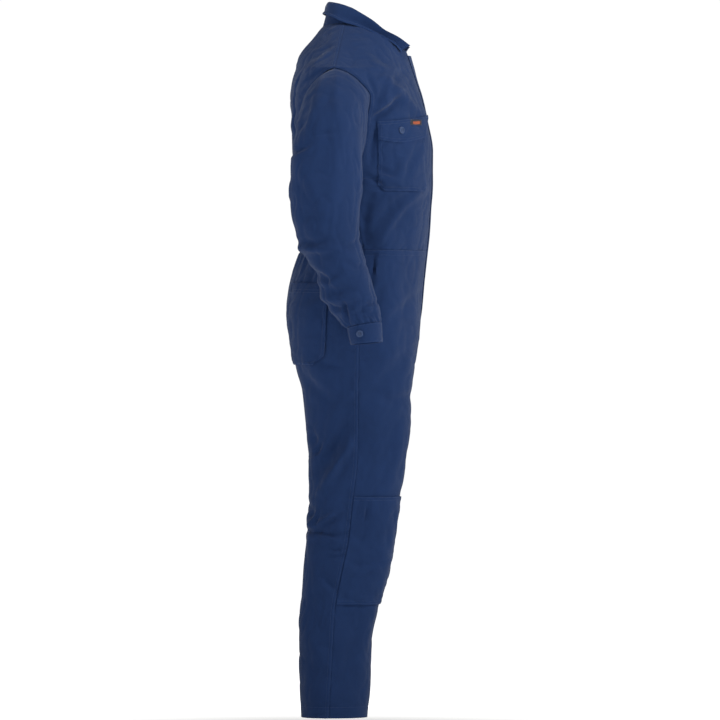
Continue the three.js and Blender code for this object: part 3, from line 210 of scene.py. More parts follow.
# Creases in the side view: soft troughs (negative) and ridges (positive), each with its width and
# depth, the side on which the cloth stands up beside it, and its line of (y, height) points
FOLDS = [
    ("torso", 8, -9.0, 1, [(-134, 1353), (-109, 1326), (-72, 1302), (-54, 1292)]),
    ("torso", 10, 6.5, 1, [(-98, 1393), (-137, 1352), (-162, 1330), (-190, 1300)]),
    ("torso", 7, -6.0, -1, [(-100, 1384), (-88, 1352), (-80, 1330)]),
    ("torso", 6, -4.5, -1, [(-64, 1392), (-70, 1365), (-76, 1340)]),
    ("torso", 9, -6.0, 1, [(-78, 1290), (-70, 1250), (-66, 1210)]),
    ("torso", 7, -5.5, 1, [(-87, 1191), (-112, 1181), (-137, 1171)]),
    ("torso", 6, -5.0, -1, [(-56, 1180), (-74, 1170), (-90, 1160)]),
    ("torso", 5, -3.6, 1, [(-58, 1156), (-90, 1150), (-146, 1150)]),
    ("torso", 9, 5.5, -1, [(-182, 1154), (-138, 1117), (-112, 1078), (-90, 1040)]),
    ("torso", 12, -5.6, 1, [(-150, 1140), (-108, 1108), (-76, 1068)]),
    ("torso", 9, -4.5, 1, [(-64, 1140), (-54, 1080), (-56, 1040)]),
    ("torso", 8, -5.4, 1, [(25, 1462), (58, 1440), (92, 1413)]),
    ("torso", 9, 4.4, 1, [(60, 1340), (80, 1320), (100, 1290)]),
    ("torso", 14, -5.0, 1, [(90, 1190), (62, 1130), (40, 1080)]),
    ("torso", 10, -4.4, -1, [(94, 1130), (70, 1090), (60, 1050)]),
    ("torso", 9, -5.0, 1, [(-170, 1240), (-150, 1200), (-140, 1160)]),
    ("torso", 8, -4.0, 1, [(-150, 1420), (-128, 1400), (-110, 1372)]),
    ("torso", 9, 3.6, 1, [(-60, 1440), (-80, 1420), (-118, 1404)]),
    ("cross", 7, -5.0, 1, [(14, 1446), (40, 1422), (72, 1398), (90, 1384)]),
    ("cross", 7, -6.5, 1, [(38, 1406), (66, 1386), (98, 1366)]),
    ("cross", 6, -6.0, -1, [(46, 1382), (72, 1362), (98, 1340)]),
    ("cross", 7, -5.6, 1, [(58, 1352), (78, 1336), (100, 1312)]),
    ("cross", 8, -4.5, -1, [(66, 1326), (84, 1308), (104, 1288)]),
    ("cross", 9, 4.0, 1, [(2, 1400), (8, 1350), (4, 1300)]),
    ("sleeve", 10, -4.6, 1, [(96, 1262), (76, 1310), (58, 1362)]),
    ("sleeve", 6, -7.0, 1, [(110, 1222), (94, 1228), (66, 1242)]),
    ("sleeve", 6, -4.0, -1, [(104, 1276), (88, 1282), (74, 1296)]),
    ("sleeve", 6, -3.6, 1, [(52, 1262), (30, 1267), (10, 1268)]),
    ("sleeve", 14, -4.6, -1, [(110, 1180), (86, 1150), (66, 1112)]),
    ("sleeve", 14, -4.0, 1, [(96, 1120), (70, 1090), (30, 1070)]),
    ("sleeve", 8, -6.4, 1, [(92, 1034), (58, 1030), (22, 1036)]),
    ("sleeve", 8, -6.0, -1, [(82, 1006), (46, 1000), (8, 1008)]),
    ("sleeve", 7, 5.5, 1, [(60, 985), (36, 972), (6, 936)]),
    ("sleeve", 8, -6.6, 1, [(58, 965), (28, 952), (4, 966)]),
    ("sleeve", 8, -5.2, 1, [(48, 938), (14, 926), (-30, 930)]),
    ("sleeve", 6, 4.6, -1, [(44, 914), (10, 906), (-40, 915)]),
    ("sleeve", 5, -5.4, 1, [(34, 898), (8, 888), (-26, 896)]),
    ("sleeve", 5, -5.0, 1, [(-84, 905), (-62, 900), (-40, 888)]),
    ("sleeve", 5, -5.0, -1, [(-30, 876), (-48, 884), (-70, 880)]),
    ("sleeve", 5, -4.4, 1, [(-40, 868), (-56, 874), (-84, 872)]),
    ("sleeve", 4.5, -7.5, 1, [(-8, 900), (-14, 880), (-18, 858)]),
    ("sleeve", 7, -4.6, 1, [(-58, 985), (-36, 978), (-10, 990)]),
    ("sleeve", 7, -4.6, 1, [(-46, 1040), (-26, 1026), (0, 1020)]),
    ("sleeve", 14, -2.4, 1, [(-50, 1330), (-34, 1290), (-26, 1210)]),
    ("sleeve", 16, 3.6, 1, [(10, 1370), (4, 1280), (10, 1180), (16, 1090)]),
    ("leg", 9, 10.5, -1, [(-22, 594), (2, 556), (28, 512), (42, 490)]),
    ("leg", 13, -12.0, 1, [(-16, 640), (12, 596), (32, 562), (46, 540)]),
    ("leg", 5, 5.0, -1, [(42, 610), (52, 590), (64, 572)]),
    ("leg", 7, -6.5, 1, [(63, 572), (48, 582), (39, 611)]),
    ("leg", 7, -6.0, 1, [(60, 622), (54, 600), (52, 583)]),
    ("leg", 7, 8.5, 1, [(58, 414), (40, 422), (14, 442)]),
    ("leg", 4.5, 7.0, -1, [(50, 446), (58, 430), (66, 414)]),
    ("leg", 7, -6.5, 1, [(70, 468), (62, 446), (56, 430)]),
    ("leg", 6.5, -6.8, 1, [(68, 409), (34, 402), (4, 396), (-14, 398)]),
    ("leg", 6, -5.5, -1, [(48, 416), (20, 428), (0, 441)]),
    ("leg", 5, -4.8, 1, [(24, 366), (8, 364), (-8, 367)]),
    ("leg", 5, -4.2, 1, [(24, 351), (8, 350), (-6, 352)]),
    ("leg", 8, -5.0, 1, [(40, 310), (20, 290), (6, 276)]),
    ("leg", 14, -4.6, 1, [(-110, 250), (-84, 200), (-60, 130)]),
    ("leg", 16, 4.2, 1, [(80, 210), (60, 160), (26, 110)]),
    ("leg", 18, -4.4, 1, [(-52, 210), (-24, 140), (0, 70)]),
    ("leg", 16, -5.6, 1, [(-150, 800), (-110, 750), (-60, 700)]),
    ("leg", 13, -6.0, -1, [(98, 770), (66, 728), (20, 690)]),
    ("leg", 12, -4.8, 1, [(-160, 700), (-120, 690), (-76, 706)]),
    ("leg", 14, 4.6, 1, [(-140, 640), (-120, 560), (-112, 500)]),
    ("leg", 12, -4.6, 1, [(-178, 930), (-140, 890), (-100, 860)]),
    ("leg", 10, -4.6, 1, [(60, 800), (30, 770), (-10, 760)]),
    ("leg", 11, 4.6, -1, [(-30, 720), (0, 680), (24, 640)]),
    ("leg", 3.2, -3.6, 1, [(-61, 474), (-58, 450), (-54, 428)]),
    ("leg", 8, -3.8, 1, [(-20, 336), (-50, 330), (-84, 340)]),
]
WAVES = {"torso": 2.0, "sleeve": 2.1, "leg": 2.1}
WRINKLES = {"torso": 1.9, "sleeve": 2.1, "leg": 1.9}
GATHER_DEPTH = 4.6
GATHER_REACH = 82
WAIST_AXIS_Y = -52
NO_EDGE = 99
FAR_RIM = 60.0
CUFF_PUCKER = 1.5
PLEAT = {"out": 149, "step": 5, "low": 1165, "high": 1420}
CENTRE_LINE_TOP = UNDERARM_HEIGHT + 120
LEG_CENTRE_LEAST = 12
FLAP_CLEAR = {"right": 26, "left": 28, "fade": 40}
ARMHOLE_FADE = 26
SHOULDER_FADE = 30
LABELS = {-1: "right", 1: "left"}

# Distances from an edge at which the cloth gets a row of points, in millimetres
SEAM = (0, 0.9, 2, 3.1, 5, 6.9, 8, 9.1, 11.5, 15)
BAND = (0, 0.9, 2, 3.1, 6, 10.8, 12, 13.2, 16)
HEM = (0, 0.9, 3, 8, 14, 20, 22.8, 24, 25.2, 29)
PLAIN = (0, 0.9, 3)
HEM_TOP = (0, 0.9, 4, 10, 14.8, 16, 17.2, 20.8, 22, 23.2, 27)
COLLAR_EDGE = (0, 0.9, 3, 5.0, 6, 7.0, 9.5)
THREAD = {"pitch": 3.4, "length": 2.7, "width": 0.75, "height": 0.5}

# Distances from an edge at which rows of stitches are sewn
ONE_ROW = (2,)
TWIN_ROWS = (2, 8)
BAND_ROWS = (2, 12)
HEM_ROW = 24
POCKET_HEM_ROWS = (16, 22)
COLLAR_ROW = (6,)


def ease(share):
    t = np.clip(share, 0, 1)
    return t * t * (3 - 2 * t)


def mix(start, end, share):
    return start + (end - start) * share


def curve_through(xs, ys):
    """A smooth line through the points that never swings past them."""
    xs = np.asarray(xs, float)
    ys = np.asarray(ys, float)
    rises = np.diff(ys) / np.diff(xs)
    slopes = np.concatenate([rises[:1], np.zeros(len(xs) - 2), rises[-1:]])
    product = rises[:-1] * rises[1:]
    total = np.where(product > 0, rises[:-1] + rises[1:], 1)
    slopes[1:-1] = np.where(product > 0, 2 * product / total, 0)

    def line(x):
        at = np.clip(x, xs[0], xs[-1])
        i = np.clip(np.searchsorted(xs, at, side="right") - 1, 0, len(xs) - 2)
        span = xs[i + 1] - xs[i]
        t = (at - xs[i]) / span
        lead = t * (1 - t) ** 2 * slopes[i] * span
        tail = t * t * (t - 1) * slopes[i + 1] * span
        return ys[i] + (ys[i + 1] - ys[i]) * t * t * (3 - 2 * t) + lead + tail

    return line


def line_of(pairs):
    return curve_through([pair[0] for pair in pairs], [pair[1] for pair in pairs])


def read_table(columns, rows):
    names = columns.split()
    firsts = [row[0] for row in rows]
    lines = {name: curve_through(firsts, [row[i] for row in rows]) for i, name in enumerate(names)}
    return lambda x: {name: line(x) for name, line in lines.items()}


torso_table = read_table(TORSO_COLUMNS, TORSO_ROWS)
armhole_front = read_table(ARMHOLE_COLUMNS, ARMHOLE_FRONT_ROWS)
armhole_back = read_table(ARMHOLE_COLUMNS, ARMHOLE_BACK_ROWS)
front_start = read_table(FRONT_START_COLUMNS, FRONT_STARTS)
back_start = read_table(BACK_START_COLUMNS, BACK_STARTS)
front_turn = line_of(FRONT_TURNS)
back_turn = line_of(BACK_TURNS)
sleeve_table = read_table(SLEEVE_COLUMNS, SLEEVE_ROWS)
cuff_table = read_table(CUFF_COLUMNS, CUFF_ROWS)
leg_table = read_table(LEG_COLUMNS, LEG_ROWS)
collar_table = read_table(COLLAR_COLUMNS, COLLAR_ROWS)
chest_flap_low = line_of(CHEST_FLAP_LOW)


def points(out, y, height):
    return np.stack(np.broadcast_arrays(out, y, height), axis=-1).astype(float)


def bulge(share, power):
    return np.maximum(0, 1 - share ** power) ** (1 / power)


def squared(value, power):
    return np.sign(value) * np.abs(value) ** (2 / power)


def torso_half_width(height):
    straight = mix(TIP["out"], NECK["out"], (height - TIP["height"]) / (NECK["height"] - TIP["height"]))
    return np.where(height < TIP["height"], torso_table(height)["halfWidth"], straight)


def torso_ridge(height):
    straight = mix(TIP["y"], NECK["y"], (height - TIP["height"]) / (NECK["height"] - TIP["height"]))
    return np.where(height < TIP["height"], torso_table(height)["ridge"], straight)


def torso_y(out, height, side):
    s = torso_table(height)
    ridge = torso_ridge(height)
    share = np.minimum(np.abs(out) / torso_half_width(height), 1)
    return ridge + (s[side] - ridge) * bulge(share, s[side + "Power"])


def armhole(turn, side):
    table = armhole_front if side == "front" else armhole_back
    rise = (1 - np.cos(np.pi * turn / ARMHOLE_TURNS)) / 2
    at = table(mix(UNDERARM_HEIGHT, TIP["height"], rise))
    return at["out"], at["y"], at["height"]


def row_end(row, side):
    """Where a cut row ends, and how far that is from the plain section."""
    start = front_start if side == "front" else back_start
    turn = (front_turn if side == "front" else back_turn)(row)
    out, y, height = armhole(turn, side)
    seam_height = start(np.minimum(row, SEAM_ROWS))["height"]
    below = row <= SEAM_ROWS
    out = np.where(below, torso_half_width(seam_height), out)
    y = np.where(below, torso_ridge(seam_height), y)
    height = np.where(below, seam_height, height)
    return out, y, height, np.where(below, 0, y - torso_y(out, height, side))


def armhole_pull(row, share):
    """How much of the armhole's own depth a point takes: near the underarm only the edge."""
    start = mix(0.94, 0.45, ease((row - SEAM_ROWS) / 3.5))
    return ease((share - start) / (1 - start))


def front_surface(row, column):
    """A point of the upper front; column runs from the front edge (0) to the side (13)."""
    start = front_start(row)
    end_out, _, end_height, miss = row_end(row, "front")
    share = np.sin(column / FRONT_COLUMNS * np.pi / 2)
    out = mix(start["out"], end_out, share)
    height = mix(start["height"], end_height, share)
    y = torso_y(out, height, "front") + miss * armhole_pull(row, share)
    return points(out, y, height)


def back_top(out):
    slope = (TIP["height"] - NECK["height"]) / (TIP["out"] - NECK["out"])
    curved = mix(BACK_STARTS[-1][1], NECK["height"], (out / NECK["out"]) ** 2)
    return np.where(out > NECK["out"], NECK["height"] + (out - NECK["out"]) * slope, curved)


def back_surface(row, turn):
    """A point of the back; turn runs from the right armhole (-1) to the left one (1)."""
    start = back_start(row)
    end_out, _, end_height, miss = row_end(row, "back")
    share = np.abs(np.sin(turn * np.pi / 2))
    rise = back_top(share * TIP["out"]) - mix(BACK_STARTS[-1][1], TIP["height"], share)
    height = mix(start["height"], end_height, share) + rise * start["lift"]
    out = end_out * share
    y = torso_y(out, height, "back") + miss * armhole_pull(row, share)
    return points(out * np.sign(turn), y, height)


def leg_surface(height, share, side):
    """A point of a leg; share runs from the side seam (0) to the inseam or centre (1)."""
    s = leg_table(height)
    clip = np.minimum(1, (s["centre"] / s["inner"]) ** (LEG_POWER / 2))
    last = np.where(height > CROTCH_HEIGHT, np.arccos(-clip), np.pi)
    angle = share * last
    across = squared(np.cos(angle), LEG_POWER)
    reach = np.where(across >= 0, s["outer"], s["inner"])
    y = s["side"] + (s[side] - s["side"]) * squared(np.sin(angle), LEG_POWER)
    return points(np.maximum(s["centre"] + reach * across, 0), y, height)


def tube_point(s, angle, power, cup=0.0, rise=0.0):
    """A point round a section given by its inner, top, front and back reach."""
    centre = points((s["inOut"] + s["topOut"]) / 2, (s["front"] + s["back"]) / 2,
                    (s["inHeight"] + s["topHeight"]) / 2)
    top = points(s["topOut"], centre[..., 1], s["topHeight"]) - centre
    front = points(centre[..., 0] + cup, s["front"], s["frontHeight"]) - centre
    back = points(centre[..., 0] + cup, s["back"], s["backHeight"]) - centre
    sine = np.sin(angle)[..., None]
    side = np.where(sine >= 0, front, back) * np.abs(squared(sine, power))
    away = top * squared(np.cos(angle)[..., None], power) + side
    return centre + away + away / np.linalg.norm(away, axis=-1, keepdims=True) * rise


def sleeve_surface(step, column):
    angle = column / SLEEVE_TURNS * 2 * np.pi
    s = sleeve_table(step)
    first = sleeve_table(np.zeros_like(step))
    at = tube_point(s, angle, SLEEVE_POWER, s["cup"])
    seat = tube_point(first, angle, SLEEVE_POWER, first["cup"])
    wrapped = np.mod(column, SLEEVE_TURNS)
    turn = np.abs(ARMHOLE_TURNS - wrapped)
    front = np.stack(armhole(turn, "front"), -1)
    back = np.stack(armhole(turn, "back"), -1)
    hole = np.where((wrapped <= ARMHOLE_TURNS)[..., None], front, back)
    hole[..., 0] += ARMHOLE_GAP
    match = curve_through([0, 1, 2, 3], [1, 0.42, 0.1, 0])(step)
    return at + (hole - seat) * match[..., None]


def cuff_surface(step, share):
    turn = CUFF_START_TURN + share * (1 + CUFF_LAP_TURN)
    rise = 1 - CUFF_LAP_RISE * ease((share - CUFF_STEP_FROM) / CUFF_STEP_SPAN)
    return tube_point(cuff_table(step), turn * 2 * np.pi, SLEEVE_POWER, 0, rise[..., None])


def smooth_noise(at, seed, wavelength, stretch=(1, 1, 1), count=22):
    """A smooth field of about -1 to 1 made of seeded plane waves, bent by one another."""
    rng = np.random.default_rng(seed)
    scaled = at / (wavelength * np.asarray(stretch, float))
    total = np.zeros(at.shape[:-1])
    for _ in range(count):
        way = rng.normal(size=3)
        way *= 2 * np.pi * rng.uniform(0.6, 1.6) / np.linalg.norm(way)
        bend = 0.7 * np.sin(scaled @ rng.normal(size=3) * 2.2 + rng.uniform(0, 6.3))
        total += np.sin(scaled @ way + rng.uniform(0, 6.3) + bend)
    return total / math.sqrt(count / 2) / 1.6


def fold_field(kind, at, side):
    """How far the creases move a point, by its place in the side view."""
    rng = np.random.default_rng(5 if side > 0 else 4)
    y, height = at[..., 1], at[..., 2]
    depth = np.zeros(y.shape)
    for owner, width, deep, lean, line in FOLDS:
        shift = rng.uniform(-1, 1, 2) * (9 if side > 0 else 0)
        scale = rng.uniform(0.75, 1.2) if side > 0 else 1
        if owner != kind:
            continue
        path = np.asarray(line, float) + shift
        lengths = np.linalg.norm(np.diff(path, axis=0), axis=1)
        best = np.full(y.shape, 1e9)
        share = np.zeros(y.shape)
        signed = np.zeros(y.shape)
        for k, length in enumerate(lengths):
            way = (path[k + 1] - path[k]) / length
            along = (y - path[k, 0]) * way[0] + (height - path[k, 1]) * way[1]
            off = (y - path[k, 0]) * -way[1] + (height - path[k, 1]) * way[0]
            over = along - np.clip(along, 0, length)
            away = np.hypot(over, off)
            nearer = away < best
            best = np.where(nearer, away, best)
            signed = np.where(nearer, np.sign(off) * away, signed)
            reached = (lengths[:k].sum() + np.clip(along, 0, length)) / lengths.sum()
            share = np.where(nearer, reached, share)
        swell = 0.35 + 0.65 * np.sin(np.pi * np.clip(share * 0.9 + 0.06, 0, 1))
        core = np.exp(-((best / width) ** 2))
        beside = np.exp(-(((signed - lean * 1.9 * width) / (1.5 * width)) ** 2))
        near = np.exp(-((best / (2.6 * width)) ** 4))
        depth += deep * scale * swell * (core - 0.42 * beside * near)
    return depth


def cross_shift(at, side):
    """Folds that run on over the armhole seam: the panels and the sleeve all move sideways alike."""
    out = np.abs(at[..., 0])
    moved = np.zeros(at.shape)
    moved[..., 0] = side * fold_field("cross", at, side) * ease((out - 70) / 90)
    return moved


def gather_field(at):
    """Upright gathers of the elastic at the back of the waist."""
    turn = np.arctan2(at[..., 0], at[..., 1] - WAIST_AXIS_Y)
    away = np.abs(at[..., 2] - WAIST_HEIGHT)
    back = ease((1.62 - np.abs(turn)) / 0.35)
    wave = np.sin(turn * 34 + 1.3 * np.sin(turn * 7)) + 0.45 * np.sin(turn * 61 + 2)
    fine = np.sin(turn * 88 + 2 * np.sin(turn * 11)) * np.exp(-away / 16)
    fade = (0.35 + 0.65 * ease(away / 14)) * (1 - ease(away / GATHER_REACH))
    return GATHER_DEPTH * back * (wave * 0.62 * fade + 0.3 * fine)


def shape_field(kind, at, side):
    stretch = {"torso": (1, 1, 1.3), "sleeve": (1, 1, 1.9), "leg": (1, 1, 2.1)}[kind]
    seed = {"torso": 11, "leg": 11, "sleeve": 31 + (side > 0)}[kind]
    body = "torso" if kind == "leg" else kind
    broad = smooth_noise(at, seed, 105, (1, 1, 1.5))
    fine = smooth_noise(at, seed + 1, 46, stretch)
    wrinkle = np.maximum(0, 1 - np.abs(fine) * 1.5) ** 2 - 0.25
    depth = WAVES[body] * broad - WRINKLES[body] * wrinkle
    depth += fold_field(kind, at, side)
    if kind != "sleeve":
        depth += gather_field(at)
    return depth


def row_distances(grid):
    spans = np.linalg.norm(np.diff(grid[..., :3], axis=1), axis=2)
    return np.concatenate([np.zeros((len(grid), 1)), np.cumsum(spans, axis=1)], axis=1)


def points_along(row, line, at):
    """The points of a row at those distances; all its numbers are carried along."""
    return np.stack([np.interp(at, line, row[:, k]) for k in range(row.shape[1])], -1)


def resample(grid, start, end, step):
    """Even columns along each row of a grid, with set distances near both ends."""
    start = np.asarray(start, float)
    end = np.asarray(end, float)
    along = row_distances(grid)
    total = along[:, -1]
    room = start[-1] + end[-1]
    count = max(2, int(np.ceil((np.median(total) - room) / step)))
    rows = []
    for row, line, length in zip(grid, along, total):
        fit = min(1, 0.7 * length / max(room, 1e-6))
        inner = np.linspace(start[-1] * fit, length - end[-1] * fit, count + 1)[1:-1]
        at = np.concatenate([start * fit, inner, length - end[::-1] * fit])
        rows.append(points_along(row, line, at))
    return np.array(rows)


def fit_columns(grid, width, start, end):
    """The same with an exact number of columns."""
    start = np.asarray(start, float)
    end = np.asarray(end, float)
    count = width - len(start) - len(end) + 1
    rows = []
    for row, line in zip(grid, row_distances(grid)):
        inner = np.linspace(start[-1], line[-1] - end[-1], count + 1)[1:-1]
        at = np.concatenate([start, inner, line[-1] - end[::-1]])
        rows.append(points_along(row, line, at))
    return np.array(rows)


def resample_rows(grid, start, end, step):
    return resample(grid.transpose(1, 0, 2), start, end, step).transpose(1, 0, 2)


def along_lines(grid, axis, from_end=False):
    """Distance of each point of a grid from the start or the end of its own line."""
    spans = np.linalg.norm(np.diff(grid, axis=axis), axis=2)
    zero = np.zeros((1, grid.shape[1])) if axis == 0 else np.zeros((len(grid), 1))
    line = np.concatenate([zero, np.cumsum(spans, axis=axis)], axis=axis)
    if from_end:
        last = line[-1:, :] if axis == 0 else line[:, -1:]
        return last - line
    return line


def edge_distances(grid):
    """Distance of each point from the start, end, low and high edge of its grid."""
    return (along_lines(grid, 1), along_lines(grid, 1, True), along_lines(grid, 0),
            along_lines(grid, 0, True))


def grid_normals(grid, outward):
    across = np.gradient(grid, axis=1)
    up = np.gradient(grid, axis=0)
    normals = np.cross(across, up)
    normals /= np.maximum(np.linalg.norm(normals, axis=2, keepdims=True), 1e-9)
    flip = np.sign((normals * outward).sum(axis=2, keepdims=True))
    return normals * np.where(flip == 0, 1, flip)


def drop_axis(normals, axis):
    normals[..., axis] = 0
    normals /= np.maximum(np.linalg.norm(normals, axis=-1, keepdims=True), 1e-9)


def flatten(normals, picked, axis):
    """Takes one direction out of the picked normals."""
    flat = normals[picked]
    flat[..., axis] = 0
    normals[picked] = flat / np.linalg.norm(flat, axis=-1, keepdims=True)


def seam_profile(distance, lapped):
    """Height of the cloth by its distance from a sewn edge, with the two rows of a lapped seam."""
    dip = -0.6 * np.exp(-distance / 1.1)
    if not lapped:
        return dip
    band = 0.75 * (1 - ease((distance - 8.5) / 2.6))
    rows = np.exp(-((distance - 2) / 0.8) ** 2) + np.exp(-((distance - 8) / 0.8) ** 2)
    return dip + band - 0.55 * rows


def band_profile(distance, line):
    """Height near an edge that is turned and sewn down by one row at that distance."""
    rows = np.exp(-((distance - line) / 0.9) ** 2)
    return 0.7 * (1 - ease((distance - line - 0.5) / 2.4)) - 0.7 * rows


def build_mesh(name, vertices, faces, uvs=None, rims=None):
    mesh = bpy.data.meshes.new(name)
    mesh.vertices.add(len(vertices))
    moved = np.array(vertices, float) - [0, 0, SHOULDER_HEIGHT]
    mesh.vertices.foreach_set("co", (moved * MM).astype(np.float32).ravel())
    faces = np.asarray(faces, np.int32)
    width = faces.shape[1]
    mesh.loops.add(faces.size)
    mesh.loops.foreach_set("vertex_index", faces.ravel())
    mesh.polygons.add(len(faces))
    mesh.polygons.foreach_set("loop_start", np.arange(0, faces.size, width, dtype=np.int32))
    if uvs is not None:
        layer = mesh.uv_layers.new(name="cloth_mm")
        layer.data.foreach_set("uv", np.asarray(uvs, np.float32)[faces.ravel()].ravel())
    if rims is not None:
        layer = mesh.attributes.new("rim", "FLOAT", "POINT")
        layer.data.foreach_set("value", np.asarray(rims, np.float32))
    mesh.update(calc_edges=True)
    mesh.validate()
    mesh.polygons.foreach_set("use_smooth", np.ones(len(faces), bool))
    mesh.set_sharp_from_angle(angle=math.radians(48))
    made = bpy.data.objects.new(name, mesh)
    bpy.context.scene.collection.objects.link(made)
    return made


def signed_volume(vertices, faces):
    corners = [vertices[faces[:, k]] for k in range(4)]
    first = (corners[0] * np.cross(corners[1], corners[2])).sum()
    return first + (corners[0] * np.cross(corners[2], corners[3])).sum()


def tuck(grid, normals, others, edge, reach):
    """Adds the seam allowance beyond an edge: a step down and a strip that lies under the next piece."""
    if edge in ("low", "high"):
        turned_over = [a.swapaxes(0, 1) for a in (grid, normals, *others)]
        made = tuck(*turned_over[:2], turned_over[2:], {"low": "start", "high": "end"}[edge], reach)
        return tuple(a.swapaxes(0, 1) for a in made)
    if edge == "start":
        flipped = [a[:, ::-1] for a in (grid, normals, *others)]
        made = tuck(*flipped[:2], flipped[2:], "end", reach)
        return tuple(a[:, ::-1] for a in made)
    last, facing = grid[:, -1], normals[:, -1]
    way = last - grid[:, -3]
    way -= facing * (way * facing).sum(1, keepdims=True)
    way /= np.maximum(np.linalg.norm(way, axis=1, keepdims=True), 1e-9)
    reach = np.broadcast_to(np.asarray(reach, float), (len(grid),))[:, None]
    step = last + way * 0.04 - facing * TUCK["sink"]
    end = last + way * reach - facing * (TUCK["sink"] + 0.15)
    grid = np.concatenate([grid, step[:, None], end[:, None]], axis=1)
    normals = np.concatenate([normals, facing[:, None], facing[:, None]], axis=1)
    return (grid, normals, *[np.concatenate([a, a[:, -1:], a[:, -1:]], axis=1) for a in others])


def wall_mesh(name, grid, normals, thickness, rim=None, tucks=()):
    """A closed sheet of cloth from its outer points and their outward directions."""
    depth = np.broadcast_to(np.asarray(thickness, float), grid.shape[:2])
    rim = np.full(grid.shape[:2], FAR_RIM) if rim is None else rim
    for edge, reach in tucks:
        grid, normals, depth, rim = tuck(grid, normals, (depth, rim), edge, reach)
    rows, columns = grid.shape[:2]
    depth = depth[..., None]
    inner = grid - normals * depth
    vertices = np.concatenate([grid.reshape(-1, 3), inner.reshape(-1, 3)])
    ids = np.arange(rows * columns).reshape(rows, columns)
    far = ids + rows * columns

    def quads(a, b, c, d):
        return np.stack([a.ravel(), b.ravel(), c.ravel(), d.ravel()], axis=1)

    faces = np.concatenate([
        quads(ids[:-1, :-1], ids[:-1, 1:], ids[1:, 1:], ids[1:, :-1]),
        quads(far[:-1, :-1], far[1:, :-1], far[1:, 1:], far[:-1, 1:]),
        quads(far[:-1, 0], ids[:-1, 0], ids[1:, 0], far[1:, 0]),
        quads(ids[:-1, -1], far[:-1, -1], far[1:, -1], ids[1:, -1]),
        quads(far[0, :-1], far[0, 1:], ids[0, 1:], ids[0, :-1]),
        quads(ids[-1, :-1], ids[-1, 1:], far[-1, 1:], far[-1, :-1]),
    ])
    if signed_volume(vertices, faces) < 0:
        faces = faces[:, ::-1]
    across = along_lines(grid, 1) - along_lines(grid, 1)[:, columns // 2, None]
    up = along_lines(grid, 0)
    flat = np.stack([across, up], -1).reshape(-1, 2)
    return build_mesh(name, vertices, faces, np.concatenate([flat, flat]),
                      np.concatenate([rim.ravel(), np.full(rows * columns, FAR_RIM)]))


thread_vertices = {"body": [], "trim": []}
thread_faces = {"body": [], "trim": []}


def stitch(line, normals, group="body", pitch=None, raise_by=0.0):
    """Sews a row of single stitches along a line on the cloth."""
    pitch = pitch or THREAD["pitch"]
    spans = np.linalg.norm(np.diff(line, axis=0), axis=1)
    along = np.concatenate([[0], np.cumsum(spans)])
    count = int(along[-1] / pitch)
    if count < 2:
        return
    middle = (np.arange(count) + 0.5) * along[-1] / count
    reach = THREAD["length"] / 2 * min(1, pitch / THREAD["pitch"])

    def on_line(values, at):
        return np.stack([np.interp(at, along, values[:, k]) for k in range(3)], -1)

    start = on_line(line, middle - reach)
    end = on_line(line, middle + reach)
    up = on_line(normals, middle)
    up /= np.linalg.norm(up, axis=1, keepdims=True)
    way = end - start
    way /= np.maximum(np.linalg.norm(way, axis=1, keepdims=True), 1e-9)
    side = np.cross(up, way) * THREAD["width"] / 2
    centre = (start + end) / 2 + up * raise_by
    rise = up * THREAD["height"]
    six = np.stack([start + up * (raise_by - 0.1), end + up * (raise_by - 0.1), centre + side,
                    centre - side, centre + rise, centre - rise * 0.6], axis=1)
    pattern = np.array([(0, 2, 4), (0, 4, 3), (0, 3, 5), (0, 5, 2),
                        (1, 4, 2), (1, 3, 4), (1, 5, 3), (1, 2, 5)])
    base = sum(len(v) for v in thread_vertices[group])
    offsets = base + 6 * np.arange(count)[:, None, None]
    thread_vertices[group].append(six.reshape(-1, 3))
    thread_faces[group].append((pattern[None] + offsets).reshape(-1, 3))


def seam_rows(grid, normals, edge, offsets, lines, group="body", rows=slice(None)):
    """Stitches the rows of points that lie at those distances from an edge of a piece."""
    for value in lines:
        k = offsets.index(value)
        if edge == "start":
            stitch(grid[rows, k], normals[rows, k], group)
        if edge == "end":
            stitch(grid[rows, -1 - k], normals[rows, -1 - k], group)
        if edge == "low":
            stitch(grid[k], normals[k], group)
        if edge == "high":
            stitch(grid[-1 - k], normals[-1 - k], group)


def keep(obj, nodes, flat=None, area=None):
    """Gives a piece its place in the frame and hides the parts that it replaces; flat and area, the size
    that a piece was cut to, are not used.
    """
    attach(obj, "root")
    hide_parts(*nodes)


def mirrored(grid, side):
    return grid * [side, 1, 1]


def axis_points(heights):
    """Points of the neck's upright axis at those heights."""
    return points(0, COLLAR_AXIS_Y, heights)


def torso_centres(grid):
    return axis_points(np.minimum(grid[..., 2], CENTRE_LINE_TOP))


def torso_outward(grid):
    return grid - torso_centres(grid)


def armhole_fade(distance, armhole_rows, from_high):
    """The creases die out towards the armhole and the shoulder seam."""
    from_armhole = np.where(armhole_rows, distance, NO_EDGE)
    return ease((from_armhole - 1) / ARMHOLE_FADE) * ease((from_high - 1) / SHOULDER_FADE)


def beside_flap(grid, start=FLAP_CLEAR["left"]):
    """0 under the storm flap, so that no crease lifts it, and 1 further out."""
    return ease((np.abs(grid[..., 0]) - start) / FLAP_CLEAR["fade"])


def seam_ripple(at, distance, seed):
    return 0.45 * smooth_noise(at, seed, 13) * np.exp(-((distance - 5) / 5.5) ** 2)


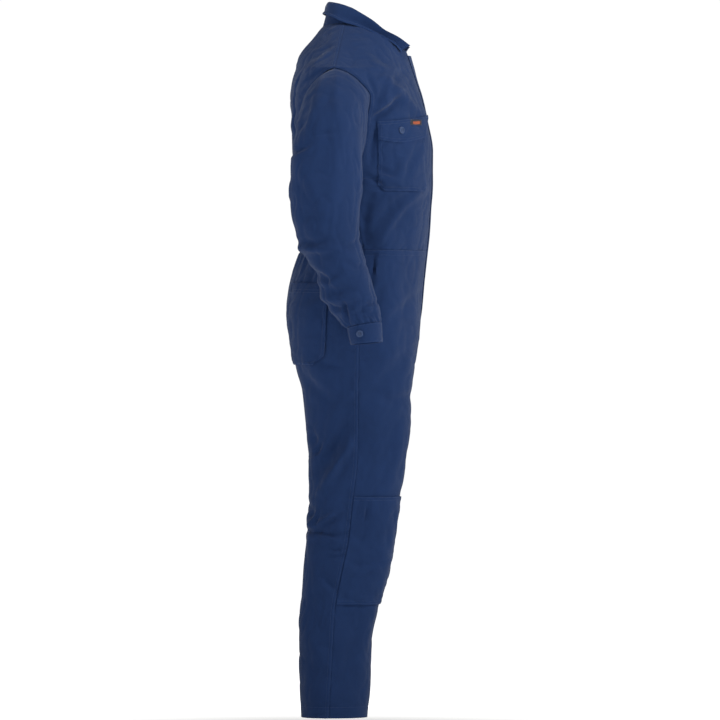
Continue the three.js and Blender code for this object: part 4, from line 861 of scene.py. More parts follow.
def make_front(side):
    label = LABELS[side]
    columns = np.linspace(0, FRONT_COLUMNS, 130)
    low = front_surface(*np.meshgrid(np.linspace(0, SEAM_ROWS, 70), columns, indexing="ij"))
    high = front_surface(*np.meshgrid(np.linspace(SEAM_ROWS, FRONT_LAST_ROW, 170), columns, indexing="ij"))
    low = resample(low, PLAIN, SEAM, STEP)
    high = resample(high, PLAIN, SEAM, STEP)
    width = min(low.shape[1], high.shape[1])
    low, high = [block if block.shape[1] == width else fit_columns(block, width, PLAIN, SEAM)
                 for block in (low, high)]
    low = resample_rows(low, SEAM, (0,), STEP)
    high = resample_rows(high, (0,), SEAM, STEP)
    corner = len(low) - 1
    grid = mirrored(np.concatenate([low, high[1:]]), side)
    _, from_end, from_low, from_high = edge_distances(grid)
    normals = grid_normals(grid, torso_outward(grid))
    settle_torso(normals, corner, grid)
    armhole_rows = (np.arange(len(grid)) > corner)[:, None]
    fade = armhole_fade(from_end, armhole_rows, from_high)
    depth = shape_field("torso", grid, side) * fade * beside_flap(grid, FLAP_CLEAR[label])
    depth += np.where(armhole_rows, seam_profile(from_end, True), seam_profile(from_end, False))
    depth += seam_profile(from_high, False) + seam_profile(from_low, False)
    depth += seam_ripple(grid, from_end, 71)
    shaped = grid + normals * depth[..., None] + cross_shift(grid, side)
    shaped[..., 0] += side * HALF_GAP
    shaped[:, -1, 1] -= np.where(np.arange(len(grid)) <= corner, HALF_GAP, 0)
    shaped[-1, :, 1] -= HALF_GAP
    final = grid_normals(shaped, torso_outward(shaped))
    settle_torso(final, corner, shaped)
    rim = np.minimum(np.where(armhole_rows, from_end, FAR_RIM), from_low + 3)
    reach = TUCK["reach"]
    centre = [("start", reach)] if side > 0 else []
    obj = wall_mesh(f"upper_front_{label}_cloth", shaped, final, CLOTH, rim,
                    [("end", 2.4), ("high", reach), ("low", reach), *centre])
    keep(obj, [f"upper_front_{label}"], (0.36, 0.52), 0.141)
    seam_rows(shaped, final, "end", SEAM, TWIN_ROWS, rows=slice(corner + 1, None))


def settle_torso(normals, corner, grid):
    drop_axis(normals[: corner + 1, -1], 1)
    drop_axis(normals[0], 2)
    drop_axis(normals[-1], 1)
    flatten(normals, (np.abs(grid[:, 0, 0]) < 1, 0), 0)


def make_back():
    turns = np.linspace(-1, 1, 300)
    low = back_surface(*np.meshgrid(np.linspace(0, SEAM_ROWS, 70), turns, indexing="ij"))
    high = back_surface(*np.meshgrid(np.linspace(SEAM_ROWS, BACK_LAST_ROW, 180), turns, indexing="ij"))
    width = 2 * len(SEAM) + 128
    low = resample_rows(fit_columns(low, width, SEAM, SEAM), SEAM, (0,), STEP)
    high = resample_rows(fit_columns(high, width, SEAM, SEAM), (0,), SEAM, STEP)
    corner = len(low) - 1
    grid = np.concatenate([low, high[1:]])
    from_start, from_end, from_low, from_high = edge_distances(grid)
    from_side = np.minimum(from_start, from_end)
    armhole_rows = (np.arange(len(grid)) > corner)[:, None]

    def settle(normals):
        for column in (0, -1):
            drop_axis(normals[: corner + 1, column], 1)
        drop_axis(normals[0], 2)
        flatten(normals, (-1, np.abs(grid[-1, :, 0]) >= NECK["out"]), 1)

    normals = grid_normals(grid, torso_outward(grid))
    settle(normals)
    fade = armhole_fade(from_side, armhole_rows, from_high)
    field = np.where(grid[..., 0] > 0, shape_field("torso", grid, 1), shape_field("torso", grid, -1))
    centre = ease(np.abs(grid[..., 0]) / 45)
    plain = smooth_noise(grid, 11, 105, (1, 1, 1.5)) * WAVES["torso"] + gather_field(grid)
    depth = mix(plain, field, centre) * fade
    out = np.abs(grid[..., 0])
    upright = ease((grid[..., 2] - PLEAT["low"]) / 50) * ease((PLEAT["high"] - grid[..., 2]) / 45)
    edge = 1 - ease((out - PLEAT["out"]) / 5)
    roll = 1.2 * np.exp(-((out - PLEAT["out"] + 9) / 6) ** 2)
    depth += upright * (PLEAT["step"] * edge * ease((out + 60) / 180) + roll)
    depth += seam_profile(from_side, True) + seam_profile(from_low, False)
    depth += seam_profile(from_high, True) * ease((out - 62) / 14)
    depth += seam_ripple(grid, from_side, 72)
    left = (grid[..., 0] > 0)[..., None]
    moved = np.where(left, cross_shift(grid, 1), cross_shift(grid, -1))
    shaped = grid + normals * depth[..., None] + moved
    for column in (0, -1):
        shaped[: corner + 1, column, 1] += HALF_GAP
    shaped[-1, :, 1] += np.where(np.abs(grid[-1, :, 0]) >= NECK["out"], HALF_GAP, 0)
    final = grid_normals(shaped, torso_outward(shaped))
    settle(final)
    rim = np.minimum(np.minimum(from_side, np.where(out > 70, from_high, FAR_RIM)), from_low + 3)
    obj = wall_mesh("upper_back_cloth", shaped, final, CLOTH, rim, [("low", TUCK["reach"])])
    keep(obj, ["upper_back"], (0.60, 0.52), 0.26)
    for edge_name in ("start", "end"):
        for rows in (slice(0, corner + 1), slice(corner + 1, None)):
            seam_rows(shaped, final, edge_name, SEAM, TWIN_ROWS, rows=rows)
    shoulder = np.abs(shaped[-1, :, 0]) > NECK["out"] + 6
    for value in TWIN_ROWS:
        k = -1 - SEAM.index(value)
        for keep_side in (shaped[-1, :, 0] < 0, shaped[-1, :, 0] > 0):
            use = shoulder & keep_side
            stitch(shaped[k, use], final[k, use])


def turn_about_centre(both):
    """The angle of each point of a sleeve about its centre line, seen from above."""
    away = both[..., :3] - both[..., 3:]
    return np.arctan2(away[..., 1], away[..., 0])


def cuff_puckers(turn, above):
    """Short gathers that run up from the cuff's seam, uneven in length and depth."""
    wave = np.sin(turn * 17 + 1.4 * np.sin(turn * 5 + 1)) + 0.6 * np.sin(turn * 29 + 2 * np.sin(turn * 3))
    length = 15 + 7 * np.sin(turn * 7 + 0.6) + 4 * np.sin(turn * 13)
    return CUFF_PUCKER * wave * ease(above / 2.5) * np.exp(-((above / length) ** 2))


def draw_in(shaped, edge, inside):
    """Moves an edge towards the row beside it, to leave the gap of the seam."""
    pull = shaped[:, inside] - shaped[:, edge]
    shaped[:, edge] += pull / np.linalg.norm(pull, axis=1, keepdims=True) * HALF_GAP


def make_sleeve(side):
    label = LABELS[side]
    pieces = {
        "top": (SLEEVE_SEAMS["back"] - SLEEVE_TURNS, SLEEVE_SEAMS["front"], SEAM, (0.36, 0.62), 0.175),
        "under": (SLEEVE_SEAMS["front"], SLEEVE_SEAMS["back"], PLAIN, (0.13, 0.42), 0.042),
    }
    for piece, (start, end, near, flat, area) in pieces.items():
        steps = np.linspace(0, SLEEVE_LAST_STEP, 260)
        columns = np.linspace(start, end, 150 if piece == "top" else 70)
        step_grid, column_grid = np.meshgrid(steps, columns, indexing="ij")
        base = sleeve_surface(step_grid, column_grid)
        ring = sleeve_surface(*np.meshgrid(steps, np.arange(SLEEVE_TURNS, dtype=float), indexing="ij"))
        centre = np.broadcast_to(ring.mean(axis=1, keepdims=True), base.shape)
        both = np.concatenate([base, centre], axis=2)
        both = resample_rows(resample(both, near, PLAIN, SLEEVE_STEP), PLAIN, PLAIN, SLEEVE_STEP)
        grid = mirrored(both[..., :3], side)
        centres = mirrored(both[..., 3:], side)
        from_start, from_end, from_low, from_high = edge_distances(grid)
        normals = grid_normals(grid, grid - centres)
        drop_axis(normals[0], 0)
        fade = ease((from_low - 1) / 30) * ease((from_high - 1) / 16)
        depth = shape_field("sleeve", grid, side) * fade
        cap = np.exp(-(from_low / 13) ** 2)
        depth += seam_profile(from_low, False) - 1.5 * cap + seam_profile(from_high, False)
        depth += cuff_puckers(turn_about_centre(both), from_high)
        depth += seam_profile(from_start, piece == "top") + seam_profile(from_end, False)
        depth += seam_ripple(grid, from_low, 73) + seam_ripple(grid, from_start, 74)
        shaped = grid + normals * depth[..., None] + cross_shift(grid, side)
        draw_in(shaped, 0, 1)
        draw_in(shaped, -1, -2)
        final = grid_normals(shaped, shaped - centres)
        drop_axis(final[0], 0)
        rim = np.minimum(from_start if piece == "top" else FAR_RIM, from_low + 4)
        reach = TUCK["reach"]
        sides = [("start", reach), ("end", reach)] if piece == "under" else []
        obj = wall_mesh(f"sleeve_{piece}_{label}_cloth", shaped, final, CLOTH, rim,
                        [*sides, ("high", reach)])
        keep(obj, [f"sleeve_{piece}_{label}"], flat, area)
        if piece == "top":
            seam_rows(shaped, final, "start", SEAM, TWIN_ROWS)


def make_cuff(side):
    label = LABELS[side]
    base = cuff_surface(*np.meshgrid(np.linspace(0, 2, 30), np.linspace(0, 1, 220), indexing="ij"))
    grid = resample_rows(resample(base, SEAM, SEAM, STEP), SEAM, SEAM, 3.2)
    grid = mirrored(grid, side)
    middle = mirrored(tube_centre(cuff_table(1.0)), side)
    outward = grid - points(middle[0], middle[1], grid[..., 2])
    near = np.minimum.reduce(edge_distances(grid))
    normals = grid_normals(grid, outward)
    depth = seam_profile(near, True) * 0.8 + 0.35 * smooth_noise(grid, 91, 30)
    depth += seam_ripple(grid, near, 75) * 0.7
    shaped = grid + normals * depth[..., None]
    final = grid_normals(shaped, outward)
    obj = wall_mesh(f"cuff_{label}_cloth", shaped, final, BAND_CLOTH, near)
    keep(obj, [f"cuff_{label}"], (0.29, 0.045), 0.29 * 0.043)
    for edge, rows in (("low", ONE_ROW), ("high", ONE_ROW), ("end", TWIN_ROWS), ("start", ONE_ROW)):
        seam_rows(shaped, final, edge, SEAM, rows, "trim")


def tube_centre(s):
    return np.array([(s["inOut"] + s["topOut"]) / 2, (s["front"] + s["back"]) / 2,
                     (s["inHeight"] + s["topHeight"]) / 2], float)


def leg_centres(heights, side, least=LEG_CENTRE_LEAST):
    s = leg_table(heights)
    return mirrored(points(np.maximum(s["centre"], least), s["side"], heights), side)


def leg_depth(grid, side, from_low):
    middle = ease((np.abs(grid[..., 0]) - 1) / 36)
    under_flap = ease((grid[..., 2] - FLAP_LINE["low"] + 30) / 30) * (grid[..., 1] < -100)
    middle = middle * mix(1, beside_flap(grid), under_flap)
    crotch = mix(middle, 1, ease((CROTCH_HEIGHT - 30 - grid[..., 2]) / 60))
    field = shape_field("leg", grid, side) - gather_field(grid)
    return field * crotch * ease((from_low - 2) / 40) + gather_field(grid) * ease(np.abs(grid[..., 0]) / 20)


def make_leg(side, side_name):
    label = LABELS[side]
    shares = np.linspace(0, 1, 150)
    blocks = []
    for start, end, count in ((0, CROTCH_HEIGHT, 330), (CROTCH_HEIGHT, LEG_TOP, 110)):
        height, share = np.meshgrid(np.linspace(start, end, count), shares, indexing="ij")
        base = mirrored(leg_surface(height, share, side_name), side)
        blocks.append(with_centres(base, leg_centres(height, side)))
    edge, width = (SEAM, 81) if side_name == "back" else (PLAIN, 57)
    low = resample_rows(fit_columns(blocks[0], width, edge, edge), HEM, (0,), STEP)
    high = resample_rows(fit_columns(blocks[1], width, edge, edge), (0,), BAND, STEP)
    corner = len(low) - 1
    both = np.concatenate([low, high[1:]])
    grid, centres = both[..., :3], both[..., 3:]
    from_start, from_end, from_low, from_high = edge_distances(grid)
    lower = np.arange(len(grid)) <= corner

    def settle(normals):
        drop_axis(normals[:, 0], 1)
        drop_axis(normals[lower, -1], 1)
        flatten(normals, (lower, -1), 1)
        flatten(normals, (~lower, -1), 0)
        drop_axis(normals[-1], 2)

    normals = grid_normals(grid, grid - centres)
    settle(normals)
    depth = leg_depth(grid, side, from_low)
    lapped = side_name == "back"
    depth += seam_profile(from_start, lapped) + seam_profile(from_end, lapped)
    depth += seam_profile(from_high, False) + band_profile(from_high, 12) * 0.8
    depth += band_profile(from_low, HEM_ROW) * 0.9 + seam_ripple(grid, from_start, 76)
    depth += 0.4 * smooth_noise(grid, 77, 15) * np.exp(-((from_low - HEM_ROW) / 7) ** 2)
    if side_name == "front":
        depth += pocket_mouth(grid)
    shaped = grid + normals * depth[..., None]
    shift = HALF_GAP if side_name == "back" else -HALF_GAP
    shaped[:, 0, 1] += shift
    shaped[lower, -1, 1] += shift
    shaped[..., 0] += side * HALF_GAP
    final = grid_normals(shaped, shaped - centres)
    settle(final)
    rim = np.minimum(from_start, from_end) if lapped else np.full(from_start.shape, FAR_RIM)
    rim = np.minimum(rim, np.abs(from_low - HEM_ROW) + 2)
    thickness = CLOTH + 0.5 * (1 - ease((from_low - 23) / 3))
    reach = TUCK["reach"]
    upper = np.where(lower, 0.05, reach)
    if lapped:
        tucks = [("end", upper)] if side > 0 else []
    else:
        tucks = [("start", reach), ("end", reach if side > 0 else reach - upper + 0.05)]
    obj = wall_mesh(f"leg_{side_name}_{label}_cloth", shaped, final, thickness, rim, tucks)
    flat = (0.36, 1.08) if lapped else (0.35, 1.06)
    keep(obj, [f"leg_{side_name}_{label}"], flat, 0.292)
    if lapped:
        seam_rows(shaped, final, "start", SEAM, TWIN_ROWS)
        seam_rows(shaped, final, "end", SEAM, TWIN_ROWS)
    seam_rows(shaped, final, "low", HEM, (HEM_ROW,))
    seam_rows(shaped, final, "high", BAND, BAND_ROWS)


POCKET_MOUTH = {"top": (-81, 1014), "low": (-60, 868), "lip": 3.2, "dip": 4.5}


def pocket_mouth(grid):
    """The slanted side pocket: a raised lip towards the front and a hollow behind it."""
    top, low = np.array(POCKET_MOUTH["top"], float), np.array(POCKET_MOUTH["low"], float)
    way = (low - top) / np.linalg.norm(low - top)
    along = (grid[..., 1] - top[0]) * way[0] + (grid[..., 2] - top[1]) * way[1]
    off = (grid[..., 1] - top[0]) * -way[1] + (grid[..., 2] - top[1]) * way[0]
    length = np.linalg.norm(low - top)
    on = ease((along + 4) / 12) * ease((length + 4 - along) / 12)
    near = ease(off / 3) * np.exp(-np.maximum(off, 0) / 12)
    far = ease(-off / 2) * np.exp(-np.maximum(-off, 0) / 9)
    return on * (POCKET_MOUTH["lip"] * far - POCKET_MOUTH["dip"] * near)


def puff_share(grid):
    """0 at the edges of a laid-on piece and 1 in its middle."""
    across = along_lines(grid, 1)
    up = along_lines(grid, 0)
    s = across / across[:, -1:]
    t = up / up[-1:, :]
    return (np.sin(np.pi * s) * np.sin(np.pi * t)) ** 0.7


def lay_patch(name, node, base, kind, side, lift, puff, edges, flat, area, fades=1.0, slack=0.0):
    """A piece sewn on a panel: its own cloth over the panel's shape, raised by lift, fuller inside."""
    low, high, ends = edges
    grid = resample_rows(resample(base, ends, ends, STEP), low, high, STEP)
    width = grid.shape[2] // 2
    centres = grid[..., width:]
    grid = grid[..., :width]
    from_start, from_end, from_low, _ = edge_distances(grid)
    normals = grid_normals(grid, grid - centres)
    fade = fades(grid) if callable(fades) else fades
    under = shape_field(kind, grid, side) if kind != "leg" else leg_depth(grid, side, grid[..., 2])
    depth = under * fade + lift(grid) + puff * puff_share(grid)
    near = np.minimum.reduce([from_start, from_end, from_low])
    depth += np.maximum(seam_profile(near, True), -0.35) * 0.75
    own = smooth_noise(grid, 50 + len(name), 38) * ease(near / 20)
    depth += slack * (own + 0.5 * np.maximum(0, 1 - np.abs(own) * 2))
    depth += np.maximum(seam_ripple(grid, near, 78), -0.2)
    shaped = grid + normals * depth[..., None]
    final = grid_normals(shaped, shaped - centres)
    obj = wall_mesh(name, shaped, final, PATCH_CLOTH, near)
    keep(obj, [node], flat, area)
    return shaped, final


def with_centres(base, centres):
    return np.concatenate([base, centres], axis=2)


def chest_columns(rows, across):
    """The cut columns of the chest pocket, whose two upright edges keep their place in the side view."""
    tries = np.linspace(2, FRONT_COLUMNS, 240)
    steps = np.linspace(rows.min(), rows.max(), 60)
    y = front_surface(*np.meshgrid(steps, tries, indexing="ij"))[..., 1]
    front = np.array([np.interp(CHEST["frontY"], line, tries) for line in y])
    rear = np.array([np.interp(CHEST["rearY"], line, tries) for line in y])
    return mix(np.interp(rows, steps, front), np.interp(rows, steps, rear), across)


def make_chest(side):
    label = LABELS[side]
    across = np.linspace(0, 1, 70)[None, :]
    corner = ease((np.abs(across - 0.5) - 0.4) / 0.1) * CHEST["cut"]
    rows = mix(CHEST["lowRow"] + corner, CHEST["highRow"], np.linspace(0, 1, 80)[:, None])
    columns = chest_columns(rows, across)
    base = mirrored(front_surface(rows, columns), side)

    pocket, normals = lay_patch(
        f"chest_pocket_{label}_cloth", f"chest_pocket_{label}", with_centres(base, torso_centres(base)),
        "torso", side, lambda grid: 0.8 + PATCH_CLOTH, 2.2, (SEAM, PLAIN, SEAM), (0.145, 0.170), 0.0215,
        beside_flap, 0.6)
    for edge in ("start", "end", "low"):
        seam_rows(pocket, normals, edge, SEAM, TWIN_ROWS, "trim")

    across = np.linspace(-0.012, 1.012, 74)[None, :]
    rows = mix(chest_flap_low(across), CHEST_FLAP_TOP_ROW, np.linspace(0, 1, 50)[:, None])
    base = mirrored(front_surface(rows, chest_columns(rows, across)), side)

    def flap_lift(grid):
        up = along_lines(grid, 0)
        return mix(4.3, 1.7, (up / up[-1:, :]) ** 1.6)

    flap, normals = lay_patch(
        f"chest_flap_{label}_cloth", f"chest_flap_{label}", with_centres(base, torso_centres(base)),
        "torso", side, flap_lift, 0.3, (SEAM, SEAM, SEAM), (0.15, 0.052), 0.0072, beside_flap, 0.35)
    for edge in ("low", "high", "start", "end"):
        seam_rows(flap, normals, edge, SEAM, TWIN_ROWS if edge != "start" else ONE_ROW, "trim")
    return flap, normals


def make_rear_pocket(side):
    label = LABELS[side]
    up = np.linspace(0, 1, 100)[:, None]
    across = np.linspace(0, 1, 80)[None, :]
    cut = REAR_POCKET["cut"] * np.maximum(0, 1 - up / REAR_POCKET["cutShare"])
    start = mix(REAR_POCKET["bottomColumn"], REAR_POCKET["topColumn"], up) + cut
    width = mix(REAR_POCKET["bottomWidth"], REAR_POCKET["topWidth"], up) - 2 * cut
    share = (start + width * across) / REAR_POCKET["columns"]
    height = np.broadcast_to(mix(REAR_POCKET["low"], REAR_POCKET["high"], up), share.shape)
    base = mirrored(leg_surface(height, share, "back"), side)
    centres = leg_centres(height, side)
    grid, normals = lay_patch(
        f"rear_pocket_{label}_cloth", f"rear_pocket_{label}", with_centres(base, centres), "leg", side,
        lambda grid: 1.6 + PATCH_CLOTH, 3.6, (SEAM, HEM_TOP, SEAM), (0.165, 0.185), 0.029, 1.0, 0.8)
    for edge in ("start", "end", "low"):
        seam_rows(grid, normals, edge, SEAM, TWIN_ROWS, "trim")
    seam_rows(grid, normals, "high", HEM_TOP, POCKET_HEM_ROWS, "trim")


def knee_lift(grid):
    """Flat in the leg's seams and fuller at the open ends of the pocket."""
    from_side = np.minimum(along_lines(grid, 1), along_lines(grid, 1, True))
    return PATCH_CLOTH + mix(0.35, 1.5, ease(from_side / 30))


def make_knee(side):
    label = LABELS[side]
    share = np.linspace(0.004, 0.996, 100)[None, :]
    height = np.linspace(KNEE["low"], KNEE["high"], 120)[:, None]
    share, height = np.broadcast_arrays(share, height)
    base = mirrored(leg_surface(height, share, "front"), side)
    centres = leg_centres(height, side, 0)
    grid, normals = lay_patch(
        f"knee_pocket_{label}_cloth", f"knee_pocket_{label}", with_centres(base, centres), "leg", side,
        knee_lift, 3.0, (SEAM, SEAM, PLAIN), (0.27, 0.24), 0.0648, 1.0, 0.9)
    for edge in ("low", "high"):
        seam_rows(grid, normals, edge, SEAM, TWIN_ROWS, "trim")


def body_front_y(out, height):
    s = leg_table(height)
    reach = np.where(out < s["centre"], s["inner"], s["outer"])
    share = np.minimum(np.abs(out - s["centre"]) / np.maximum(reach, 1), 1)
    leg = s["side"] + (s["front"] - s["side"]) * bulge(share, LEG_POWER)
    return np.where(height >= WAIST_HEIGHT, torso_y(out, np.maximum(height, WAIST_HEIGHT), "front"), leg)


def make_storm_flap():
    height = np.linspace(FLAP_LINE["low"], FLAP_LINE["high"], 260)[:, None]
    across = np.linspace(FLAP_LINE["free"], FLAP_LINE["sewn"], 40)[None, :]
    rows = np.array([row[2] for row in FRONT_STARTS], float)
    edge = curve_through(rows, [row[1] for row in FRONT_STARTS])(height) * (height > WAIST_HEIGHT)
    share = (across - FLAP_LINE["free"]) / (FLAP_LINE["sewn"] - FLAP_LINE["free"])
    x = across + edge * share
    height = np.broadcast_to(height, x.shape)
    lift = 0.9 * np.sin(np.pi * share) - 0.25
    base = points(x, body_front_y(np.abs(x), height) - lift - BAND_CLOTH, height)
    grid = resample_rows(resample(base, SEAM, SEAM, STEP), SEAM, SEAM, STEP)
    outward = np.broadcast_to([0.0, -1, 0], grid.shape)
    from_free, from_sewn, from_low, _ = edge_distances(grid)
    near = np.minimum.reduce([from_free, from_sewn, from_low])
    normals = grid_normals(grid, outward)
    free = ease(from_sewn / 30) * ease(from_free / 12)
    depth = np.maximum(seam_profile(near, True), -0.4) * 0.7 + 0.2 * free * (1 + smooth_noise(grid, 93, 60))
    shaped = grid + normals * depth[..., None]
    final = grid_normals(shaped, outward)
    obj = wall_mesh("storm_flap_cloth", shaped, final, BAND_CLOTH, near)
    keep(obj, ["storm_flap"], (0.062, 0.62), 0.036)
    for edge_name in ("start", "end"):
        seam_rows(shaped, final, edge_name, SEAM, TWIN_ROWS, "trim")
    seam_rows(shaped, final, "low", SEAM, ONE_ROW, "trim")


def neck_line():
    """The neckline from the centre back to the front corner, and the share of the way at each point."""
    turns = np.linspace(0, 2 / np.pi * np.arcsin(NECK["out"] / TIP["out"]), 40)
    back = back_surface(np.full(40, float(BACK_LAST_ROW)), turns)
    rows = np.linspace(FRONT_LAST_ROW, FRONT_NECK_ROW, 50)[1:]
    front = front_surface(rows, np.zeros(49))
    line = np.concatenate([back, front])
    along = np.concatenate([[0], np.cumsum(np.linalg.norm(np.diff(line, axis=0), axis=1))])
    return line, along / along[-1]


def both_halves(half):
    """A row of points from the centre back out, with its mirror image before it."""
    return np.concatenate([half[:, :0:-1] * [-1, 1, 1], half], axis=1)


def make_collar():
    line, turn = neck_line()
    at = collar_table(turn)
    away = points(at["rollOut"], at["rollY"] - COLLAR_AXIS_Y, 0)
    away /= np.linalg.norm(away, axis=1, keepdims=True)
    top = points(at["rollOut"], at["rollY"], at["rollHeight"] - 1.5) - away * 2.6
    foot = line + [0, 0, 0.45]
    share = np.linspace(0, 1, 14)[:, None, None]
    stand = both_halves(mix(foot[None], top[None], share))
    grid = resample_rows(resample(stand, COLLAR_EDGE, COLLAR_EDGE, 5), PLAIN, PLAIN, 5)
    outward = grid - axis_points(grid[..., 2])
    normals = outward / np.linalg.norm(outward, axis=2, keepdims=True)
    near = np.minimum(along_lines(grid, 1), along_lines(grid, 1, True))
    obj = wall_mesh("collar_stand_cloth", grid, normals, 1.8, near, [("low", TUCK["reach"])])
    keep(obj, ["collar_stand"], (0.43, 0.045), 0.0155)

    share = np.linspace(0, 1, 40)[:, None, None]
    roll = points(at["rollOut"], at["rollY"], at["rollHeight"])
    edge = points(at["edgeOut"], at["edgeY"], at["edgeHeight"])
    puff = 16 * share * (1 - share)
    away = points(at["edgeOut"], at["edgeY"] - COLLAR_AXIS_Y, 0)
    away /= np.linalg.norm(away, axis=1, keepdims=True)
    flare = 4.6 * ease((share - 0.8) / 0.2)
    fall = mix(roll[None], edge[None], share) + (away * 0.5 + np.array([0, 0, 0.5])) * puff
    fall = both_halves(fall + away * flare)
    grid = resample_rows(resample(fall, COLLAR_EDGE, COLLAR_EDGE, 4.2), PLAIN, COLLAR_EDGE, 3.4)
    outward = grid - axis_points(grid[..., 2] - 60)
    normals = grid_normals(grid, outward)
    from_start, from_end, from_roll, from_edge = edge_distances(grid)
    near = np.minimum.reduce([from_start, from_end, from_edge])
    depth = 0.7 * (1 - ease((near - 6.5) / 2)) - 0.6 * np.exp(-((near - 6) / 0.9) ** 2)
    depth += 0.8 * smooth_noise(grid, 95, 55) * ease(from_roll / 14) - 0.5 * np.exp(-near / 1.1)
    shaped = grid + normals * depth[..., None]
    final = grid_normals(shaped, outward)
    obj = wall_mesh("collar_fall_cloth", shaped, final, 1.9, near)
    keep(obj, ["collar_fall"], (0.46, 0.045), 0.0175)
    for edge_name in ("start", "end", "high"):
        seam_rows(shaped, final, edge_name, COLLAR_EDGE, COLLAR_ROW, "trim")


# Buttons: (radius, height) of the disc and of a thread hole, and where the holes and threads lie
BUTTON_FACE = 0.9
HOLE_OUT = 1.55
THREAD_OUT = 2.1
THREAD_LIFT = 0.15
CHEST_BUTTON = {"y": -134, "height": 1279}
CUFF_BUTTON = {"turn": 0.955, "lift": 0.9}
BUTTON_PROFILE = [
    (0.01, 0.2), (7.1, 0.2), (7.5, 0.6), (7.5, 1.7), (7.25, 2.25), (6.7, 2.6), (6.0, 2.55), (5.5, 2.1),
    (5.1, BUTTON_FACE + 0.3), (3.0, BUTTON_FACE), (0.01, BUTTON_FACE),
]
HOLE_PROFILE = [
    (0.05, BUTTON_FACE + 0.01), (0.85, BUTTON_FACE + 0.01), (0.95, BUTTON_FACE + 0.10),
    (0.05, BUTTON_FACE + 0.06),
]
TAG_PLACE = {"fromY": -153.5, "toY": -178.5, "low": 1291.0, "high": 1303.5, "lift": 1.25}


def frame_at(at, normal):
    normal = normal / np.linalg.norm(normal)
    across = np.cross([0, 0, 1.0], normal)
    across /= np.linalg.norm(across)
    return at, across, np.cross(normal, across), normal


def turned(profile, place, sides=40):
    """A solid of revolution about the outward direction of a place on the cloth."""
    at, across, up, normal = place
    turns = np.linspace(0, 2 * np.pi, sides, endpoint=False)
    rings = np.array([[at + (across * math.cos(t) + up * math.sin(t)) * r + normal * h for t in turns]
                      for r, h in profile])
    ids = np.arange(len(profile) * sides).reshape(len(profile), sides)
    following = np.roll(ids, -1, axis=1)
    faces = [ids[:-1].ravel(), following[:-1].ravel(), following[1:].ravel(), ids[1:].ravel()]
    return rings.reshape(-1, 3), np.stack(faces, 1)


def make_button(name, node, at, normal):
    place = frame_at(at, normal)
    obj = build_mesh(name, *turned(BUTTON_PROFILE, place))
    shape = bmesh.new()
    shape.from_mesh(obj.data)
    bmesh.ops.holes_fill(shape, edges=[e for e in shape.edges if e.is_boundary])
    bmesh.ops.recalc_face_normals(shape, faces=shape.faces)
    shape.to_mesh(obj.data)
    shape.free()
    keep(obj, [node])
    middle, across, up, out = place
    hole_vertices, hole_faces, count = [], [], 0
    for dx, dy in ((1, 1), (-1, 1), (-1, -1), (1, -1)):
        spot = frame_at(middle + across * dx * HOLE_OUT + up * dy * HOLE_OUT, out)
        vertices, faces = turned(HOLE_PROFILE, spot, 14)
        hole_vertices.append(vertices)
        hole_faces.append(faces + count)
        count += len(vertices)
    holes = build_mesh(name + "_holes", np.concatenate(hole_vertices), np.concatenate(hole_faces))
    holes.parent = obj
    for shift in (-HOLE_OUT, HOLE_OUT):
        start = middle + across * -THREAD_OUT + up * shift + out * (BUTTON_FACE + THREAD_LIFT)
        end = middle + across * THREAD_OUT + up * shift + out * (BUTTON_FACE + THREAD_LIFT)
        line = np.array([start, (start + end) / 2, end])
        for offset in (-0.3, 0.3):
            stitch(line + up * offset, np.array([out] * 3), "trim", 2.0, THREAD_LIFT)


def grid_at(grid, normals, y, height):
    """The cloth's point and direction nearest to a place in the side view, smoothed over neighbours."""
    gap = (grid[..., 1] - y) ** 2 + (grid[..., 2] - height) ** 2
    order = np.argsort(gap.ravel())[:12]
    weight = 1 / (gap.ravel()[order] + 0.4)
    weight /= weight.sum()
    at = (grid.reshape(-1, 3)[order] * weight[:, None]).sum(0)
    normal = (normals.reshape(-1, 3)[order] * weight[:, None]).sum(0)
    return at, normal / np.linalg.norm(normal)


def neighbour_mean(field):
    return (field[:-2, 1:-1] + field[2:, 1:-1] + field[1:-1, :-2] + field[1:-1, 2:]) / 4


def make_tag(flap, normals):
    """A plain woven tag with a dark border, lying on the right chest flap."""
    ys = np.linspace(TAG_PLACE["fromY"], TAG_PLACE["toY"], 21)
    heights = np.linspace(TAG_PLACE["low"], TAG_PLACE["high"], 11)
    grid = np.zeros((len(heights), len(ys), 3))
    facing = np.zeros_like(grid)
    for i, height in enumerate(heights):
        for j, y in enumerate(ys):
            at, normal = grid_at(flap, normals, y, height)
            grid[i, j] = [at[0] + normal[0] * TAG_PLACE["lift"], y, height]
            facing[i, j] = normal
    for _ in range(6):
        grid[1:-1, 1:-1, 0] = neighbour_mean(grid)[..., 0]
        facing[1:-1, 1:-1] = neighbour_mean(facing)
    facing /= np.linalg.norm(facing, axis=2, keepdims=True)
    near = np.minimum.reduce(edge_distances(grid))
    raised = grid + facing * (0.25 * ease(near / 2))[..., None]
    obj = wall_mesh("label_tag_cloth", raised, facing, 0.8, near)
    keep(obj, ["label_tag"], (0.055, 0.0125))
    for line in (grid[1], grid[-2], grid[:, 1], grid[:, -2]):
        stitch(line, np.repeat(facing[5:6, 10], len(line), 0), "trim", 2.4, 0.2)


def flush_threads():
    """Makes the sewn rows into two pieces: the seams, and the edges of collar, pockets and cuffs."""
    for group in thread_vertices:
        obj = build_mesh(f"stitching_{group}", np.concatenate(thread_vertices[group]),
                         np.concatenate(thread_faces[group]))
        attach(obj, "root")


